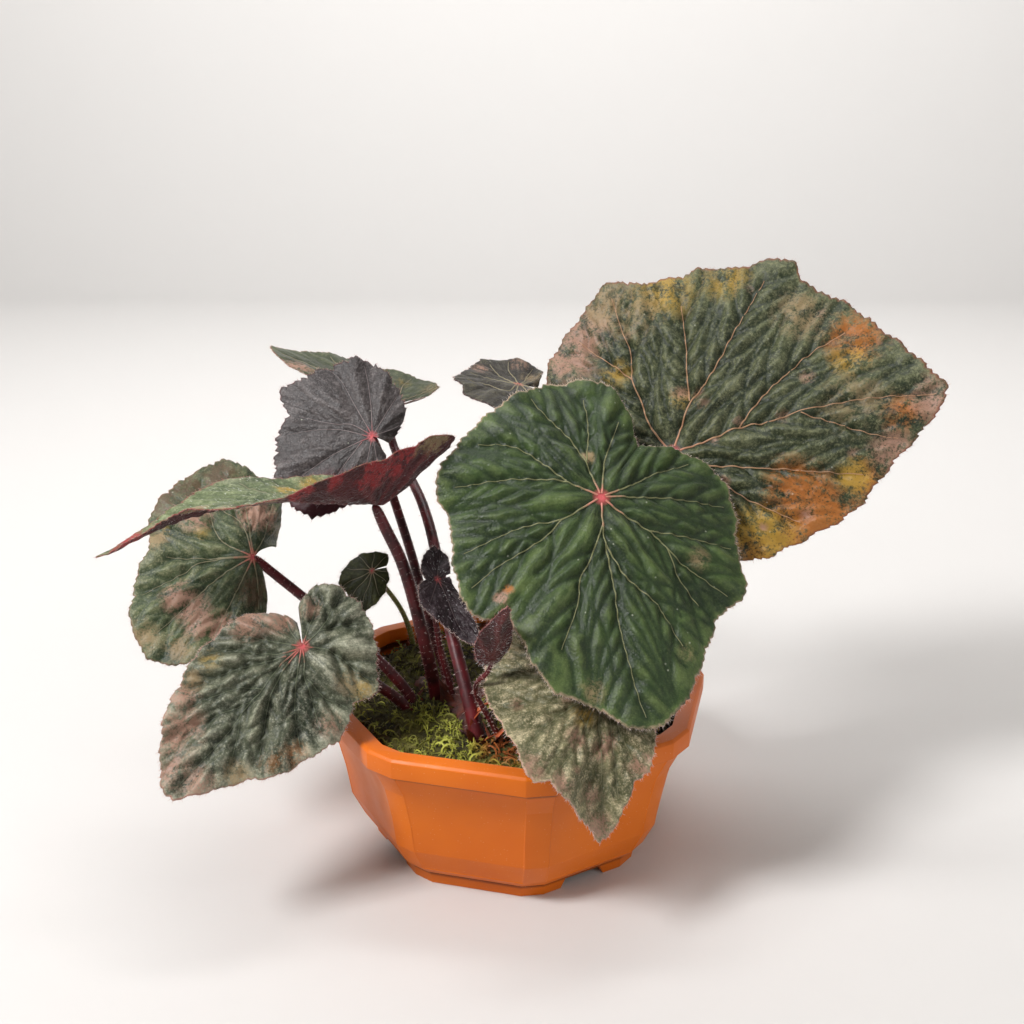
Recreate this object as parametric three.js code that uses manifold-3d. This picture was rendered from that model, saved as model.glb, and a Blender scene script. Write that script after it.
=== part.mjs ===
// A rex begonia growing in a low octagonal bowl pot.
//
// Millimetres, +Z up. Everything is laid out from the middle of the pot's foot, with the
// viewer's side towards -Y. At the end the group is moved so that its origin lies at the
// middle of the bottom of the whole plant's box.

import * as THREE from 'three';
import { mergeVertices } from 'three/addons/utils/BufferGeometryUtils.js';
import Module from 'manifold-3d';

const wasm = await Module();
wasm.setup();

// ---------------------------------------------------------------- driving dimensions

const GAP = 0.3; // left between pieces that touch

// The pot: a regular octagon with small cut corners.
const SIDES = 8;
const FRONT_FACING = -104.7; // degrees, where the front side faces
const ACROSS_FLATS = 200; // outside, at the rim
const POT_HEIGHT = 85;
const RIM_HEIGHT = 10; // the band round the rim
const RIM_WIDTH = 9; // of its flat top
const WALL = 3.5;
const FOOT_HEIGHT = 8; // the band round the foot
const FOOT_RIM = 5; // its thickness
const FOOT_RECESS = 6; // how far the underside is lifted off the table
const FLOOR_TOP = 10;
const FLOOR_CORNER = 5; // how far the floor's edge is drawn in from the wall
const EDGE_ROUNDING = 1.4; // at the top of the rim band
const SOIL_TOP = 70;
const NOTCH = { wide: 27, narrow: 21, height: 5, sides: [1, 3, 5, 7] };
const DRAIN = { radius: 6, ring: 38, count: 4, sides: 12 };

// The wall's outside, from the foot up: [height, half the width across flats, cut corner].
const WALL_OUTSIDE = [
  [FOOT_HEIGHT, 74.5, 11.4],
  [12, 78, 11.6],
  [25, 84, 12],
  [42, 86.5, 12.4],
  [60, 90.5, 12.8],
  [POT_HEIGHT - RIM_HEIGHT, 97.3, 13],
];
const FOOT_APOTHEM = 71.6;
const FOOT_CUT = 11.3;
const RIM_CUT = 15.8;

// Leaves and stalks.
const BLADE_THICKNESS = 0.7;
const PAD_MARGIN = 0.8; // the flat pad over the stalk is this much wider than the stalk
const FOLD_FROM = 10; // a margin that rises less than this isn't folded at all
const FOLD_OVER = 15; // and the fold is full when it rises this much more
const STALK_SIDES = 7;
const STALK_STEPS = 9;
const ROOT_DEPTH = 12; // how deep a stalk stands in the soil
const ROOT_FLARE = 1.25; // stalks are thicker where they leave the rhizome

// One entry per leaf.
//   at, heading, dip, roll: where the stalk meets the blade, and how the blade lies there.
//     The midrib points to `heading`, tipped down by `dip`, and the blade rolls about it.
//   margin: the outline, anticlockwise from one edge of the basal notch to the other, as
//     [degrees from the midrib, reach from the stalk, rise of the margin off the plane].
//     Degrees run on past 360 so that they always grow.
//   curl: how late along the blade the rise comes. fold: the same where the margin stands up
//   high, on a leaf that is folded there. wave: ripples towards the margin.
//   root, via, neck: where the stalk stands, what it passes, and its straight end.
//   girth: the stalk's radius at the bottom and at the top.
const LEAVES = [
  {
    name: 'front',
    at: [44, -27, 196], heading: -76, dip: 50, roll: 2,
    margin: [
      [138, 38, -8], [151, 51, -7], [169, 67, -6], [190, 69, -8], [203, 71, -8],
      [220, 73, -10], [240, 77, -12], [257, 83, -14], [271, 75, -15], [288, 81, -14],
      [299, 86, -12], [308, 88, -10], [313, 77, -9], [320, 81, -8], [329, 93, -6],
      [337, 102, -5], [347, 105, -3], [354, 114, -1], [360, 118, 0], [369, 110, -2],
      [381, 94, -5], [398, 82, -10], [407, 87, -10], [422, 76, -11], [442, 72, -12],
      [462, 66, -11], [482, 50, -9], [495, 39, -8],
    ],
    curl: 1.7, wave: { count: 9, height: 1.6, phase: 20 }, tooth: 1.5, spokes: 60, rings: 4,
    root: [4, -18], via: [[24, -8, 130]], neck: 20, girth: [3.8, 3.2],
    color: 0x2f4a2c,
  },
  {
    name: 'tall',
    at: [85, 23, 205], heading: -8, dip: -14, roll: 55,
    margin: [
      [203, 30, -10], [228, 34, -10], [256, 44, -10], [280, 56, -11], [294, 70, -11],
      [308, 78, -12], [319, 86, -12], [331, 99, -9], [341, 107, -6], [348, 117, -4],
      [357, 135, -1], [361, 143, 0], [369, 136, -2], [381, 128, -4], [394, 124, -7],
      [404, 119, -8], [411, 128, -7], [422, 115, -6], [434, 111, -5], [440, 105, -5],
      [453, 104, -4], [459, 112, -5], [471, 103, -6], [486, 95, -8], [494, 90, -8],
      [506, 75, -10], [520, 56, -10], [545, 40, -10], [556, 30, -10],
    ],
    curl: 1.7, wave: { count: 8, height: 2, phase: 70 }, tooth: 1.8, spokes: 64, rings: 4,
    root: [14, 12], via: [[40, 24, 120]], neck: 22, girth: [3.8, 3.2],
    color: 0x4a5236,
  },
  {
    name: 'rim',
    at: [41, -73, 114], heading: -90, dip: 53, roll: -7,
    margin: [
      [168, 21, -14], [185, 31, -17], [210, 43, -24], [219, 57, -29], [226, 63, -30],
      [240, 60, -29], [255, 55, -23], [274, 54, -10], [288, 51, -1], [303, 51, 11],
      [315, 56, 21], [321, 60, 25], [327, 54, 23], [336, 56, 20], [346, 60, 14],
      [354, 66, 6], [360, 72, 0], [365, 65, -3], [372, 57, -3], [380, 48, -2], [391, 45, 2],
      [414, 33, 6], [442, 35, 5], [468, 40, 3], [491, 40, -6], [512, 36, -13],
      [518, 22, -13],
    ],
    curl: 1.5, wave: { count: 13, height: 1.4, phase: 0 }, tooth: 1.3, spokes: 48, rings: 3,
    root: [18, -36], via: [[30, -48, 92]], neck: 9, girth: [2.8, 2.2],
    color: 0x66705a,
  },
  {
    name: 'low',
    at: [-101, -60, 131], heading: -138, dip: 36, roll: -45,
    margin: [
      [233, 13, -7], [243, 18, -7], [266, 25, -8], [280, 34, -7], [293, 39, -7],
      [307, 46, -6], [317, 54, -5], [327, 61, -4], [335, 70, -3], [344, 79, -2],
      [353, 88, -1], [359, 94, 0], [365, 85, -1], [372, 75, -2], [379, 68, -3],
      [392, 62, -4], [399, 56, -5], [410, 52, -5], [422, 49, -6], [432, 43, -5],
      [444, 38, -5], [458, 44, -4], [467, 40, -4], [484, 37, -4], [502, 36, -4],
      [526, 36, -5], [546, 36, -5], [566, 34, -6], [577, 28, -7], [586, 21, -7],
    ],
    curl: 1.6, wave: { count: 15, height: 1.6, phase: 40 }, tooth: 1.3, spokes: 50, rings: 3,
    root: [-52, -22], via: [[-82, -34, 106]], neck: 13, girth: [3, 2.5],
    color: 0x68735f,
  },
  {
    name: 'left',
    at: [-135, -1, 155], heading: -129, dip: 41, roll: -32,
    margin: [
      [172, 14, -16], [180, 18, -18], [188, 28, -20], [194, 39, -20], [204, 49, -18],
      [214, 54, -16], [222, 61, -14], [232, 65, -11], [244, 63, -8], [256, 63, -7],
      [267, 63, -5], [281, 61, -4], [293, 55, -2], [307, 60, 0], [319, 64, 2],
      [330, 70, 3], [339, 72, 3], [347, 75, 3], [361, 68, 3], [374, 58, -1],
      [387, 48, -6], [397, 37, -10], [407, 24, -10], [416, 12, -4], [424, 7, -1],
    ],
    curl: 1.6, wave: { count: 10, height: 1.2, phase: 0 }, tooth: 1.2, spokes: 44, rings: 3,
    root: [-51, -11], via: [[-80, -10, 110], [-110, -8, 136], [-124, -3, 146]], neck: 5,
    girth: [3, 2.4],
    color: 0x5a6650,
  },
  {
    name: 'wing',
    at: [-69, -13, 188], heading: -171, dip: -8, roll: 14,
    margin: [
      [198, 34, 31], [207, 40, 37], [224, 39, 32], [248, 37, 24], [276, 40, 15],
      [298, 47, 10], [312, 56, 9], [323, 64, 7], [333, 74, 5], [342, 85, 2], [350, 93, -3],
      [356, 101, -11], [359, 111, -20], [361, 134, -40], [364, 109, -22], [368, 101, -16],
      [374, 91, -10], [381, 82, -8], [392, 71, -3], [403, 63, 0], [409, 59, 6],
      [416, 52, 12], [425, 43, 16], [442, 34, 22], [470, 29, 29], [504, 33, 37],
      [522, 40, 38], [527, 35, 31],
    ],
    curl: 2.6, fold: 1.15,
    wave: { count: 11, height: 1, phase: 0 }, tooth: 1.4, spokes: 48, rings: 4,
    root: [-40, -9], via: [[-46, -14, 113], [-59, -15, 166]], neck: 5, girth: [3.6, 3],
    color: 0x5c4a3a,
  },
  {
    name: 'silver',
    at: [-76, 45, 208], heading: -160, dip: 37, roll: -49,
    margin: [
      [121, 8, -5], [151, 14, -4], [171, 20, -4], [186, 26, -4], [206, 32, -4],
      [221, 40, -4], [234, 46, -4], [245, 51, -4], [257, 50, -4], [271, 55, -4],
      [280, 57, -4], [291, 64, -4], [298, 56, -4], [304, 52, -4], [315, 56, -3],
      [327, 57, -2], [340, 59, -1], [351, 61, -1], [360, 59, 0], [375, 56, -1],
      [381, 48, -1], [393, 40, -2], [409, 29, -2], [427, 19, -3], [444, 12, -4],
    ],
    curl: 1.6, wave: { count: 12, height: 1, phase: 0 }, tooth: 1.2, spokes: 46, rings: 3,
    root: [-34, 10], via: [[-43, 10, 107], [-55, 25, 148], [-66, 37, 179]], neck: 8, girth: [2.8, 2.3],
    color: 0x77787a,
  },
  {
    name: 'plate',
    at: [-70, 85, 218], heading: 164, dip: -20, roll: 0,
    margin: [
      [228, 24, 8], [242, 36, 9], [258, 41, 8], [285, 46, 4], [303, 53, 1], [320, 61, -1],
      [333, 67, 0], [348, 75, -1], [359, 81, 0], [367, 72, 0], [372, 64, -1], [378, 50, 0],
      [386, 39, 0], [402, 26, 2], [444, 15, 4], [504, 14, 6], [545, 15, 8], [572, 19, 7],
    ],
    curl: 1.5, wave: { count: 9, height: 1, phase: 30 }, tooth: 1.2, spokes: 38, rings: 3,
    root: [-15, -60], via: [[-31, -28, 123], [-47, 28, 173]], neck: 14, girth: [3.8, 2.2],
    color: 0x4c5a44,
  },
  {
    name: 'back',
    at: [4, 71, 231], heading: -157, dip: -10, roll: 0,
    margin: [
      [192, 13, -1], [199, 17, 3], [212, 23, 6], [227, 30, 8], [245, 33, 10], [268, 33, 9],
      [299, 34, 6], [330, 32, 2], [360, 41, 0], [376, 41, -3], [386, 44, -6], [399, 43, -7],
      [413, 45, -10], [437, 41, -10], [465, 34, -6], [488, 22, -2], [510, 14, -2],
      [542, 12, -2],
    ],
    curl: 1.5, wave: { count: 9, height: 1, phase: 0 }, tooth: 1.2, spokes: 36, rings: 3,
    root: [-2, 32], via: [[0, 52, 150]], neck: 20, girth: [2.8, 2.3],
    color: 0x4d5144,
  },
  {
    name: 'olive',
    at: [-81, 60, 124], heading: -111, dip: 53, roll: -14,
    margin: [
      [125, 8, -2], [142, 13, -2], [169, 13, -2], [190, 12, -2], [225, 13, -2],
      [259, 15, -2], [280, 18, -2], [303, 21, -1], [330, 20, -1], [360, 25, 0],
      [375, 22, 0], [389, 18, -1], [420, 12, -2], [445, 11, -2], [478, 8, -2],
    ],
    curl: 1.5, wave: { count: 5, height: 0.4, phase: 0 }, tooth: 0.8, spokes: 26, rings: 2,
    root: [-58, 60], via: [[-64, 62, 97]], neck: 8, girth: [1.7, 1.3],
    color: 0x4b4f26,
  },
  {
    name: 'maroon',
    at: [-38, -20, 150], heading: -47, dip: 39, roll: 7,
    margin: [
      [90, 8, 1], [122, 13, 2], [142, 18, 2], [158, 19, 2], [185, 14, 2],
      [224, 10, 2], [257, 8, 2], [274, 13, 1], [302, 19, -1], [319, 23, -1],
      [339, 29, 0], [350, 36, -1], [360, 42, 0], [366, 33, 1], [374, 21, 0],
      [390, 12, 0], [420, 8, 1], [438, 7, 1],
    ],
    curl: 1.4, wave: { count: 7, height: 0.8, phase: 0 }, tooth: 0.9, spokes: 28, rings: 2,
    root: [-30, -14], via: [[-38, -14, 110]], neck: 8, girth: [1.8, 1.4],
    color: 0x4a3a40,
  },
  {
    name: 'bud',
    at: [-10, -66, 126], heading: -72, dip: -56, roll: 0,
    margin: [
      [186, 5, 1], [225, 6, 1], [280, 7, 2], [318, 13, 3], [333, 19, 4], [346, 27, 4],
      [354, 34, 3], [360, 47, 0], [366, 34, 3], [374, 27, 4], [387, 19, 4], [402, 13, 3],
      [440, 7, 2], [495, 6, 1], [534, 5, 1],
    ],
    curl: 1.2, wave: { count: 6, height: 0.4, phase: 0 }, tooth: 0.7, spokes: 22, rings: 2,
    root: [-5, -56], via: [[-11, -60, 92], [-19, -62, 111]], neck: 5, girth: [1.6, 1.2],
    color: 0x7a3030,
  },
];

// The rhizome creeps half sunk through the moss, in two branches, as [x, y, z] of its axis.
const RHIZOME_RADIUS = 8;
const RHIZOMES = [
  [[-50, 14, 72], [-40, 2, 75], [-28, -20, 75], [-20, -42, 74], [-13, -62, 71]],
  [[-30, -10, 72], [-12, -8, 75], [6, -16, 75], [18, -34, 72]],
];
const RHIZOME_RINGS = 9; // old leaf scars along each branch
const RHIZOME_KNOB = 0.9;
const RHIZOME_SIDES = 8;
const RHIZOME_TIP = 0.8; // its ends are this much as thick as its middle

// Papery bracts at the feet of the stalks: [x, y, z], heading, lean from upright, length, width.
const STIPULES = [
  { at: [-8, -58, 76], heading: -35, lean: 35, length: 19, width: 12 },
  { at: [-10, -66, 75], heading: -80, lean: 50, length: 15, width: 11 },
  { at: [-22, -52, 76], heading: -150, lean: 35, length: 17, width: 9 },
  { at: [-34, -20, 79], heading: -120, lean: 15, length: 20, width: 10 },
  { at: [-12, -30, 76], heading: -30, lean: 30, length: 20, width: 10 },
  { at: [12, -26, 78], heading: -20, lean: 30, length: 16, width: 10 },
];
const STIPULE_THICKNESS = 0.8;
const STIPULE_STEPS = 4;

const MOSS_APOTHEM = 86; // the moss stops short of the wall
const MOSS_DEPTH = 4.5;
const MOSS_MOUND = { x: -25, y: -40, height: 5, spread: 55 }; // thickest near the front
const MOSS_LUMP = 1.3;
const MOSS_STATIONS = 28;
const MOSS_RINGS = 5;

// ---------------------------------------------------------------- small helpers

const radians = THREE.MathUtils.degToRad;
const vec = (p) => new THREE.Vector3(...p);

// A closed skin over rings of points, with a fan to a middle point at each end. Seen from
// the far end looking back, each ring runs anticlockwise.
function closedLoft(rings, firstMiddle, lastMiddle) {
  const points = [firstMiddle, ...rings.flat(), lastMiddle];
  const size = rings[0].length;
  const at = (ring, i) => 1 + ring * size + (i % size);
  const last = points.length - 1;
  const faces = [];
  for (let i = 0; i < size; i += 1) {
    faces.push(0, at(0, i + 1), at(0, i));
    faces.push(last, at(rings.length - 1, i), at(rings.length - 1, i + 1));
    for (let ring = 0; ring + 1 < rings.length; ring += 1) {
      faces.push(at(ring, i), at(ring, i + 1), at(ring + 1, i + 1));
      faces.push(at(ring, i), at(ring + 1, i + 1), at(ring + 1, i));
    }
  }
  return geometryFrom(points, faces);
}

function geometryFrom(points, faces) {
  const geometry = new THREE.BufferGeometry().setFromPoints(points);
  geometry.setIndex(faces);
  return geometry;
}

function toSolid(geometry) {
  const bare = new THREE.BufferGeometry();
  bare.setAttribute('position', geometry.getAttribute('position'));
  bare.setIndex(geometry.getIndex());
  const merged = mergeVertices(bare, 1e-5);
  const vertProperties = new Float32Array(merged.getAttribute('position').array);
  const triVerts = new Uint32Array(merged.getIndex().array);
  return new wasm.Manifold(new wasm.Mesh({ numProp: 3, vertProperties, triVerts }));
}

function toGeometry(solid) {
  const mesh = solid.getMesh();
  const geometry = new THREE.BufferGeometry();
  geometry.setAttribute('position', new THREE.BufferAttribute(mesh.vertProperties, 3));
  geometry.setIndex(new THREE.BufferAttribute(mesh.triVerts, 1));
  return geometry;
}

// The largest body of a solid: loose scraps left by the cuts are dropped.
function mainBody(solid) {
  const bodies = solid.decompose();
  return bodies.reduce((best, body) => (body.volume() > best.volume() ? body : best));
}

function makeMesh(name, geometry, color, roughness) {
  const material = new THREE.MeshStandardMaterial({ color, roughness, metalness: 0 });
  material.flatShading = true;
  const mesh = new THREE.Mesh(geometry, material);
  mesh.name = name;
  return mesh;
}

// ---------------------------------------------------------------- pot, soil and moss

// One level of the pot: an octagon with cut corners, anticlockwise seen from above.
function potRing(height, apothem, cut) {
  const half = Math.PI / SIDES;
  const halfFlat = apothem * Math.tan(half) - cut / 2 / Math.cos(half);
  const points = [];
  for (let side = 0; side < SIDES; side += 1) {
    const facing = radians(FRONT_FACING) + side * 2 * half;
    for (const along of [-halfFlat, halfFlat]) {
      points.push(new THREE.Vector3(
        apothem * Math.cos(facing) - along * Math.sin(facing),
        apothem * Math.sin(facing) + along * Math.cos(facing),
        height,
      ));
    }
  }
  return points;
}

// The same level set in by some thickness, which shortens the cut corners a little.
function insetRing(height, apothem, cut, inset) {
  return potRing(height, apothem - inset, cut - 0.4 * inset);
}

function wallInside(extra) {
  return WALL_OUTSIDE.slice(1).map(([height, apothem, cut]) => (
    insetRing(height, apothem, cut, WALL + extra)
  ));
}

function notchCutter(side) {
  const { wide, narrow, height } = NOTCH;
  const outline = new THREE.Shape([
    new THREE.Vector2(-wide / 2, -1),
    new THREE.Vector2(wide / 2, -1),
    new THREE.Vector2(narrow / 2, height),
    new THREE.Vector2(-narrow / 2, height),
  ]);
  const length = 3 * FOOT_RIM;
  const cutter = new THREE.ExtrudeGeometry(outline, { depth: length, bevelEnabled: false });
  cutter.rotateX(Math.PI / 2); // now it runs along -Y, and the outline stands up
  cutter.translate(0, length / 2 - FOOT_APOTHEM, 0);
  cutter.rotateZ(radians(FRONT_FACING + 90 + side * 360 / SIDES));
  return toSolid(cutter);
}

function drainCutter(x, y) {
  const { radius, sides } = DRAIN;
  const cutter = new THREE.CylinderGeometry(radius, radius, 3 * FLOOR_TOP, sides);
  cutter.rotateX(Math.PI / 2);
  cutter.translate(x, y, FLOOR_TOP / 2);
  return toSolid(cutter);
}

function makePot() {
  const rim = ACROSS_FLATS / 2;
  const rimBottom = POT_HEIGHT - RIM_HEIGHT;
  const rings = [
    insetRing(FOOT_RECESS, FOOT_APOTHEM, FOOT_CUT, FOOT_RIM + 1),
    insetRing(0, FOOT_APOTHEM, FOOT_CUT, FOOT_RIM),
    potRing(0, FOOT_APOTHEM, FOOT_CUT),
    potRing(FOOT_HEIGHT, FOOT_APOTHEM + 0.6, FOOT_CUT),
    ...WALL_OUTSIDE.map((level) => potRing(...level)),
    potRing(rimBottom, rim, RIM_CUT),
    potRing(POT_HEIGHT - EDGE_ROUNDING, rim, RIM_CUT),
    insetRing(POT_HEIGHT, rim, RIM_CUT, EDGE_ROUNDING),
    insetRing(POT_HEIGHT, rim, RIM_CUT, RIM_WIDTH),
    insetRing(rimBottom + 2, rim, RIM_CUT, RIM_WIDTH + 0.6),
    ...wallInside(0).reverse(),
    insetRing(FLOOR_TOP, WALL_OUTSIDE[1][1], WALL_OUTSIDE[1][2], WALL + FLOOR_CORNER),
  ];
  const bowl = closedLoft(
    rings,
    new THREE.Vector3(0, 0, FOOT_RECESS),
    new THREE.Vector3(0, 0, FLOOR_TOP),
  );
  let solid = toSolid(bowl);
  for (const side of NOTCH.sides) {
    solid = solid.subtract(notchCutter(side));
  }
  solid = solid.subtract(drainCutter(0, 0));
  for (let i = 0; i < DRAIN.count; i += 1) {
    const angle = radians(FRONT_FACING) + (i / DRAIN.count) * 2 * Math.PI;
    solid = solid.subtract(drainCutter(DRAIN.ring * Math.cos(angle), DRAIN.ring * Math.sin(angle)));
  }
  return toGeometry(solid);
}

function soilBody() {
  const levels = WALL_OUTSIDE.slice(1, -1).map(([height, apothem, cut]) => (
    insetRing(height, apothem, cut, WALL + GAP)
  ));
  const [belowHeight, belowApothem] = WALL_OUTSIDE.at(-2);
  const [aboveHeight, aboveApothem, cut] = WALL_OUTSIDE.at(-1);
  const share = (SOIL_TOP - belowHeight) / (aboveHeight - belowHeight);
  const topApothem = THREE.MathUtils.lerp(belowApothem, aboveApothem, share);
  const bottom = FLOOR_TOP + GAP;
  return toSolid(closedLoft(
    [
      insetRing(bottom, WALL_OUTSIDE[1][1], WALL_OUTSIDE[1][2], WALL + FLOOR_CORNER + GAP),
      ...levels,
      insetRing(SOIL_TOP, topApothem, cut, WALL + GAP + 0.1),
    ],
    new THREE.Vector3(0, 0, bottom),
    new THREE.Vector3(0, 0, SOIL_TOP),
  ));
}

// Height of the moss: a low mound, with lumps that two crossed waves make.
function mossHeight(x, y) {
  const away = ((x - MOSS_MOUND.x) ** 2 + (y - MOSS_MOUND.y) ** 2) / MOSS_MOUND.spread ** 2;
  const lumps = Math.sin(x / 6.5 + 1) * Math.sin(y / 7 + 2) + 0.6 * Math.sin((x - y) / 4);
  return SOIL_TOP + MOSS_DEPTH + MOSS_MOUND.height * Math.exp(-away) + MOSS_LUMP * lumps;
}

function mossBody() {
  const outline = potRing(0, MOSS_APOTHEM, RIM_CUT);
  const edge = new THREE.CatmullRomCurve3(outline, true, 'catmullrom', 0.1);
  const stations = edge.getSpacedPoints(MOSS_STATIONS).slice(0, MOSS_STATIONS);
  const bottom = SOIL_TOP + GAP;
  const level = (share, lift) => stations.map((p) => {
    const x = p.x * share;
    const y = p.y * share;
    return new THREE.Vector3(x, y, lift ? bottom + lift * (mossHeight(x, y) - bottom) : bottom);
  });
  const rings = [level(0.98, 0), level(1, 0.55)];
  for (let ring = MOSS_RINGS; ring > 0; ring -= 1) {
    rings.push(level(0.96 * (ring / MOSS_RINGS), 1));
  }
  return toSolid(closedLoft(
    rings,
    new THREE.Vector3(0, 0, bottom),
    new THREE.Vector3(0, 0, mossHeight(0, 0)),
  ));
}

// ---------------------------------------------------------------- stalks and rhizome

// A tapering round tube along a smooth curve, closed at both ends.
function taperedTube(points, radiusAt, steps, sides) {
  const curve = new THREE.CatmullRomCurve3(points, false, 'centripetal');
  const frames = curve.computeFrenetFrames(steps, false);
  const rings = [];
  for (let step = 0; step <= steps; step += 1) {
    const middle = curve.getPointAt(step / steps);
    const radius = radiusAt(step / steps);
    const ring = [];
    for (let i = 0; i < sides; i += 1) {
      const angle = (i / sides) * 2 * Math.PI;
      ring.push(middle.clone()
        .addScaledVector(frames.normals[step], radius * Math.cos(angle))
        .addScaledVector(frames.binormals[step], radius * Math.sin(angle)));
    }
    rings.push(ring);
  }
  return closedLoft(rings, curve.getPointAt(0), curve.getPointAt(1));
}

// How the blade lies: x along the midrib, y to its left, z out of the upper face.
function bladeBasis(leaf) {
  const heading = radians(leaf.heading);
  const dip = radians(leaf.dip);
  const roll = radians(leaf.roll);
  const along = new THREE.Vector3(
    Math.cos(heading) * Math.cos(dip),
    Math.sin(heading) * Math.cos(dip),
    -Math.sin(dip),
  );
  const level = new THREE.Vector3(-Math.sin(heading), Math.cos(heading), 0);
  const left = level.applyAxisAngle(along, roll);
  const out = new THREE.Vector3().crossVectors(along, left);
  return { along, left, out };
}

// The stalk's route from its root to the underside of the blade.
function stalkRoute(leaf, extraDepth) {
  const { out } = bladeBasis(leaf);
  const [x, y] = leaf.root;
  const top = vec(leaf.at).addScaledVector(out, -(BLADE_THICKNESS / 2 + GAP));
  return [
    new THREE.Vector3(x, y, SOIL_TOP - ROOT_DEPTH - extraDepth),
    new THREE.Vector3(x, y, SOIL_TOP + 4),
    ...leaf.via.map(vec),
    vec(leaf.at).addScaledVector(out, -leaf.neck),
    top,
  ];
}

function makeStalk(leaf, swell = 0) {
  const [bottom, top] = leaf.girth;
  const radiusAt = (t) => {
    const flare = 1 + (ROOT_FLARE - 1) * Math.exp(-(t * 8));
    return THREE.MathUtils.lerp(bottom, top, t) * flare + swell;
  };
  return taperedTube(stalkRoute(leaf, swell), radiusAt, STALK_STEPS, STALK_SIDES);
}

function rhizomeBranch(axis, swell) {
  const radiusAt = (t) => {
    const knobs = RHIZOME_KNOB * Math.cos(t * RHIZOME_RINGS * 2 * Math.PI);
    const taper = THREE.MathUtils.lerp(1, RHIZOME_TIP, Math.abs(2 * t - 1) ** 3);
    return (RHIZOME_RADIUS + knobs) * taper + swell;
  };
  return toSolid(taperedTube(axis.map(vec), radiusAt, 2 * RHIZOME_RINGS, RHIZOME_SIDES));
}

// A bract: a thin pointed scale that bends back towards its tip.
function stipule({ at, heading, lean, length, width }, swell) {
  const facing = radians(heading);
  const tilt = radians(lean);
  const outward = new THREE.Vector3(Math.cos(facing), Math.sin(facing), 0);
  const sideways = new THREE.Vector3(-Math.sin(facing), Math.cos(facing), 0);
  const rings = [];
  const middleAt = (t) => {
    const bent = tilt * (0.6 + 0.9 * t);
    return vec(at)
      .addScaledVector(outward, length * t * Math.sin(bent))
      .add(new THREE.Vector3(0, 0, length * t * Math.cos(bent)));
  };
  const half = STIPULE_THICKNESS / 2 + swell;
  for (let step = 0; step <= STIPULE_STEPS; step += 1) {
    const t = step / STIPULE_STEPS;
    const reach = (width / 2) * (1 - t) ** 0.6 + 0.5 + swell;
    const middle = middleAt(t);
    const hollow = outward.clone().multiplyScalar(0.18 * reach);
    const corner = (side, depth) => middle.clone()
      .addScaledVector(sideways, side * reach)
      .addScaledVector(outward, depth * half)
      .sub(side ? hollow : new THREE.Vector3());
    rings.push([corner(1, -1), corner(0, -1), corner(-1, -1), corner(-1, 1), corner(0, 1), corner(1, 1)]);
  }
  return toSolid(closedLoft(rings, middleAt(0), middleAt(1)));
}

function rhizomeBody(swell) {
  const pieces = [
    ...RHIZOMES.map((axis) => rhizomeBranch(axis, swell)),
    ...STIPULES.map((bract) => stipule(bract, swell)),
  ];
  return pieces.reduce((sum, piece) => sum.add(piece));
}

// ---------------------------------------------------------------- blades

// Cubic through four neighbouring values, for a smooth run between the margin's entries.
function smooth(before, from, to, after, t) {
  const a = 2 * from;
  const b = to - before;
  const c = 2 * before - 5 * from + 4 * to - after;
  const d = 3 * (from - to) + after - before;
  return 0.5 * (a + b * t + c * t * t + d * t ** 3);
}

// The margin at a place counted in entries, as { angle in radians, reach, rise }.
function marginAt(margin, place) {
  const last = margin.length - 1;
  const index = Math.min(Math.floor(place), last - 1);
  const t = place - index;
  const entry = (i) => margin[THREE.MathUtils.clamp(i, 0, last)];
  const run = (k) => smooth(
    entry(index - 1)[k], entry(index)[k], entry(index + 1)[k], entry(index + 2)[k], t,
  );
  return {
    angle: radians(THREE.MathUtils.lerp(entry(index)[0], entry(index + 1)[0], t)),
    reach: run(1),
    rise: run(2),
  };
}

// Stations at even steps along the margin, every other one drawn in as the gap between teeth.
function marginStations(leaf) {
  const fine = 24;
  const total = (leaf.margin.length - 1) * fine;
  const samples = [];
  const travelled = [0];
  for (let i = 0; i <= total; i += 1) {
    const { angle, reach } = marginAt(leaf.margin, i / fine);
    samples.push(new THREE.Vector2(reach * Math.cos(angle), reach * Math.sin(angle)));
    if (i > 0) {
      travelled.push(travelled[i - 1] + samples[i].distanceTo(samples[i - 1]));
    }
  }
  const stations = [];
  let i = 0;
  for (let k = 0; k <= leaf.spokes; k += 1) {
    const target = (k / leaf.spokes) * travelled[total];
    while (i < total - 1 && travelled[i + 1] < target) {
      i += 1;
    }
    const t = (target - travelled[i]) / (travelled[i + 1] - travelled[i]);
    const station = marginAt(leaf.margin, (i + t) / fine);
    station.reach -= k % 2 ? leaf.tooth : 0;
    stations.push(station);
  }
  return stations;
}

// Height of the blade's middle surface above its plane, at a distance along a spoke.
function bladeHeight(leaf, station, pad, distance) {
  const share = Math.max(0, distance - pad) / (station.reach - pad);
  const { count, height, phase } = leaf.wave;
  const ripple = height * Math.sin(count * station.angle + radians(phase)) * share ** 2;
  const folded = THREE.MathUtils.clamp((station.rise - FOLD_FROM) / FOLD_OVER, 0, 1);
  const curl = THREE.MathUtils.lerp(leaf.curl, leaf.fold ?? leaf.curl, folded);
  return station.rise * share ** curl + ripple;
}

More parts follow.
